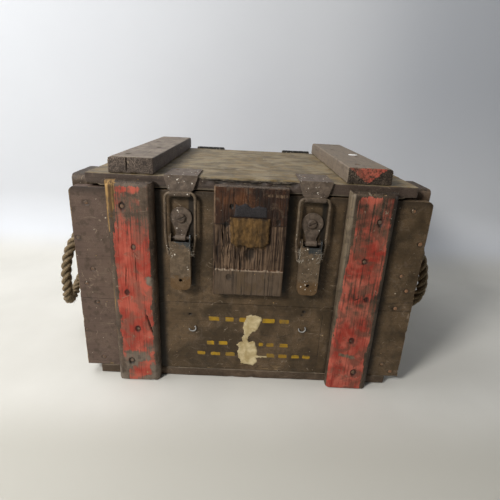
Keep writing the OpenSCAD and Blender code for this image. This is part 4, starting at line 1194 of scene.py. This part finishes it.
def sheet(name, outline, y, thickness, material, ragged, curl=0.0, seed=6, dirt=0.0, stripes=()):
    """A thin upright sheet with torn edges in front of the plane y, from an outline in x and z."""
    spacing = 1.1
    outline = np.asarray(outline, float)
    edge = []
    for a, b in zip(outline, np.roll(outline, -1, axis=0)):
        n = max(1, round(np.linalg.norm(b - a) / 0.9))
        edge.append(a + (b - a) * (np.arange(n) / n)[:, None])
    edge = np.concatenate(edge)
    solid = upright(edge)
    edge = edge + ragged * np.stack([noise(solid / 1.7, seed), noise(solid / 1.7, seed + 1)], 1)
    low, high = edge.min(0), edge.max(0)
    inner = list(product(np.arange(low[0] + spacing / 2, high[0], spacing),
                         np.arange(low[1] + spacing / 2, high[1], spacing)))
    loop = list(range(len(edge)))
    flat, _, tris, *_ = delaunay_2d_cdt([Vector(p) for p in [*edge, *inner]], [], [loop], 1, 1e-4)
    flat = np.array(flat)
    solid = upright(flat)
    to_edge = np.min(np.linalg.norm(flat[:, None] - edge[None], axis=2), axis=1)
    lift = curl * smooth(4, 0, to_edge) * (0.5 + 0.5 * noise(solid / 7, seed + 2))
    puff = thickness * (0.75 + 0.25 * rough(solid / 3, seed + 3))
    rim = smooth(-0.2, min(1.2, thickness), to_edge)
    points = np.concatenate([upright(flat, y - lift - puff * (0.35 + 0.65 * rim)),
                             upright(flat, np.minimum(y - lift, y - 0.02))])
    count = len(flat)
    faces, sides = [], {}
    for a, b, c in tris:
        ab, ac = flat[b] - flat[a], flat[c] - flat[a]
        if ab[0] * ac[1] - ab[1] * ac[0] < 0:
            b, c = c, b
        faces += [(a, b, c), (a + count, c + count, b + count)]
        sides.update({(a, b): True, (b, c): True, (c, a): True})
    faces += [(q, p, p + count, q + count) for p, q in sides if (q, p) not in sides]
    soiled = dirt * smooth(2.5, 0, to_edge)
    for x, reach, dark in stripes:
        away = np.abs(flat[:, 0] - x) + 1.2 * noise(solid / [3, 3, 9], seed + 4)
        soiled = soiled + dark * smooth(reach, reach * 0.3, away)
    add_piece(name, points, faces, material, dirt=np.tile(soiled, 2))


def make_sheets():
    y = box("seal_block")[0][Y]
    low, high = box("seal_tab")
    bottom = [(low[X] + 1, 192), (-14, 188.5), (-6, 189.5), (0, 186.8), (7, 188.5), (15, 187.5), (high[X] - 1, 193)]
    sheet("seal_tab", bottom + [(high[X] - 0.3, high[Z] - 0.5), (low[X] + 0.3, high[Z] - 0.3)], y + 0.9,
          high[Y] - low[Y] + 0.7, "tab_leather", 0.7, seed=7, dirt=0.35,
          stripes=[(15, 4.5, 0.75), (-11, 3.5, 0.5), (3, 2, 0.2)])
    rng = np.random.default_rng(12)
    hairs = []
    for x in rng.uniform(low[X] + 2, high[X] - 3, 46):
        drop, drift = rng.uniform(1.5, 7.0), rng.uniform(-2.5, 2.5)
        t = np.linspace(0, 1, 6)
        path = np.stack([x + drift * t * t, y - 0.9 - 0.7 * np.sin(t * 2.2), 190 - drop * t], 1)
        hairs.append(tube(path, 0.2 - 0.13 * t, 3))
    add_piece("tab_threads", *joined(hairs), "tab_leather", dirt=0)
    low, high = box("tape_remnant")
    top = [(high[X] - 0.5, 234), (8, 236), (1, 233), (-6, 238), (-13, 235), (low[X] + 1, 237)]
    sheet("tape_remnant", [(low[X], low[Z]), (high[X], low[Z])] + top, y + 0.9, 1.5, "dark_tape", 0.35, seed=9)
    outline = [(1, 93.6), (7, 94.4), (19.5, 92.3), (20, 88), (15.7, 75), (13, 71.5), (8, 69), (6, 65), (3, 59),
               (5.5, 54.5), (9.5, 57), (13, 55), (15, 48), (17, 43), (16, 36), (29, 35), (29.5, 32.8), (16, 32),
               (17, 25.5), (12, 20), (-4, 22.5), (-4.5, 28), (-7.5, 32), (-8.7, 40.5), (-7, 46), (-10, 50), (-8, 54),
               (-2, 56), (-4, 60), (-2.5, 64), (-0.5, 66), (-3, 75), (-2, 82)]
    sheet("label_remnant", outline, front + 0.42, 0.62, "label_paper", 0.8, curl=0.25, seed=10, dirt=0.25)


def make_sticker():
    low, high = box("sticker")
    centre = (low + high) / 2
    path = [(centre[X], centre[Y], high[Z] - drop) for drop in (1.1, 0.0, -0.05, -0.08, -0.1)]
    wave = 1 + 0.02 * np.sin(around(48) * 3)
    radii = np.outer([0.99, 1.0, 0.93, 0.5, 0.1], wave) * (high[X] - low[X]) / 2
    add_piece("sticker", *tube(path, radii, 48), "sticker_paper", "lid", dirt=0.05)


# ---- latches, hinges and staples ----

def make_bail(word, x):
    """Wire loop from the lever's two holes up round the keeper's hook."""
    wire = 1.75
    foot, bar = np.array([0, -147.0, 173.0]), np.array([0, -146.1, 244.6])
    half, in_x = 16.7, 9.6
    taper = foot + (bar - foot) * 21 / np.linalg.norm(bar - foot)
    corners = [(-in_x, *foot[1:]), (-half + 2.8, *foot[1:]), (-half, *taper[1:]), (-half, *bar[1:])]
    corners = np.array(corners + [(-c[0], c[1], c[2]) for c in corners[::-1]]) + [x, 0, 0]
    path = rounded_path(corners, [2.2, 8, 6, 6, 8, 2.2], 0.8)
    points, faces = tube(path, wire * (1 + 0.03 * rough(path / 3, 5, 2)), 20)
    add_piece(f"bail_{word}", points, faces, "bail_wire", f"bail_{word}", edge=9, bare=0.12 * noise(points / 7, 9),
              rust=0.15 * noise(points / 11, 10))


def make_latches():
    for word, x in (("left", -78.0), ("right", 70.0)):
        def bare(points, x=x):
            """Grey steel at the lever's top right and a little at its foot."""
            top = smooth(170, 188, points[:, Z]) * smooth(-14, 4, points[:, X] - x)
            return 0.42 * top + 0.12 * smooth(150, 140, points[:, Z])

        def rust(points):
            """Rust at the lever's foot."""
            return 0.5 * smooth(155, 140, points[:, Z]) - 0.25 * smooth(172, 182, points[:, Z])

        worn_copy(f"latch_base_{word}", "latch_steel")
        worn_copy(f"keeper_{word}", "latch_steel", "lid", 0.2)
        worn_copy(f"lever_{word}", "lever_steel", f"lever_{word}", 0.35, 1.3, 0.10, bare=bare, rust=rust)
        worn_copy(f"lever_pin_{word}", "rusty_fixings", f"lever_{word}", 0.25)
        make_bail(word, x)
        lint(word, x)
    worn_copy("latch_screws", "rusty_fixings", "crate", 0.25, 0.9)


def lint(word, x):
    """Pale fluff caught round the ears of a lever."""
    rng = np.random.default_rng(21 if word == "left" else 22)
    hairs = []
    for _ in range(340 if word == "right" else 140):
        ear = rng.choice([-10.2, 10.2])
        spot = np.array([x + ear + rng.uniform(-2.2, 2.2), rng.uniform(-152.6, -149.5), 180 + rng.uniform(-8, 8)])
        way = rng.standard_normal(3) * [1, 0.35, 1]
        turn = rng.standard_normal(3) * [0.8, 0.3, 0.8]
        t = np.linspace(0, 1, 5)[:, None]
        path = spot + rng.uniform(1.5, 3.6) * (way * t + turn * t * t) * 0.6
        path[:, Y] = np.clip(path[:, Y], -154.0, -149.0)
        hairs.append(tube(path, np.linspace(0.24, 0.08, 5), 3))
    add_piece(f"lint_{word}", *joined(hairs), "lint", f"lever_{word}", "hemp_rope", dirt=0)


def make_hinges():
    for word in ("left", "right"):
        worn_copy(f"hinge_leaf_body_{word}", "hinge_steel", "crate", 0.25, 2.0)
        worn_copy(f"hinge_leaf_lid_{word}", "hinge_steel", "lid", 0.25, 2.0)
        worn_copy(f"hinge_pin_{word}", "rusty_fixings", "crate", 0.2)
    worn_copy("hinge_screws_body", "rusty_fixings", "crate", 0.15, 1.0, 0.05)
    worn_copy("hinge_screws_lid", "rusty_fixings", "lid", 0.08, 1.0, 0.0)


def make_staples():
    """Two short cut wires bent round, low on the front."""
    wire, bend, count = 0.9, 4.2, 40
    parts = []
    for x, z, start, sweep in ((-66, 73, 190, 215), (71, 78, 170, 235)):
        a = np.radians(np.linspace(start, start + sweep, count))
        lift = 0.25 * np.sin(np.linspace(0, 9, count))
        path = np.stack([x + bend * np.cos(a), front - wire + 0.1 - np.abs(lift) * 0.5, z + bend * np.sin(a)], 1)
        parts.append(tube(path, wire * np.concatenate([[0.6], np.full(count - 2, 0.95), [0.6]]), 12))
    points, faces = joined(parts)
    add_piece("wire_staples", points, faces, "bare_wire", edge=9, bare=0, rust=0.2 * noise(points / 3, 4))


# ---- floor and wall ----

def make_stage():
    """A pale floor with a round bend up to a wall behind, seen from the front only, and a floor beyond it that glows as
    painted light.
    """
    wall_y, bend, reach = 0.33, 0.13, 2.2
    angles = np.radians(np.linspace(0, 90, 10))
    profile = [(-reach, 0.0)] + [(wall_y - bend + bend * math.sin(a), bend - bend * math.cos(a)) for a in angles]
    profile.append((wall_y, 1.8))
    beyond = [(wall_y - bend, 0.0), (reach, 0.0)]
    for name, line, drop, painted_glow in (("stage", profile, 0.0004, 0.0), ("stage_beyond", beyond, 0.0008, 0.20)):
        points = [(x, y, z - drop) for y, z in line for x in (-reach, reach)]
        faces = [(2 * i, 2 * i + 1, 2 * i + 3, 2 * i + 2) for i in range(len(line) - 1)]
        mesh = bpy.data.meshes.new(name)
        mesh.from_pydata(points, [], faces)
        stage_look(name, painted_glow)
        mesh.materials.append(MATERIALS[name])
        mesh.polygons.foreach_set("use_smooth", [True] * len(mesh.polygons))
        stage = bpy.data.objects.new(name, mesh)
        scene.collection.objects.link(stage)


make_camera()
make_lights()
make_materials()
make_stage()
rope_handle(-1, LEFT_ROUTE)
rope_handle(1, RIGHT_ROUTE)
make_walls()
make_ends()
make_floor_boards()
make_battens()
make_lid()
make_block()
make_sheets()
make_sticker()
make_latches()
make_hinges()
make_staples()
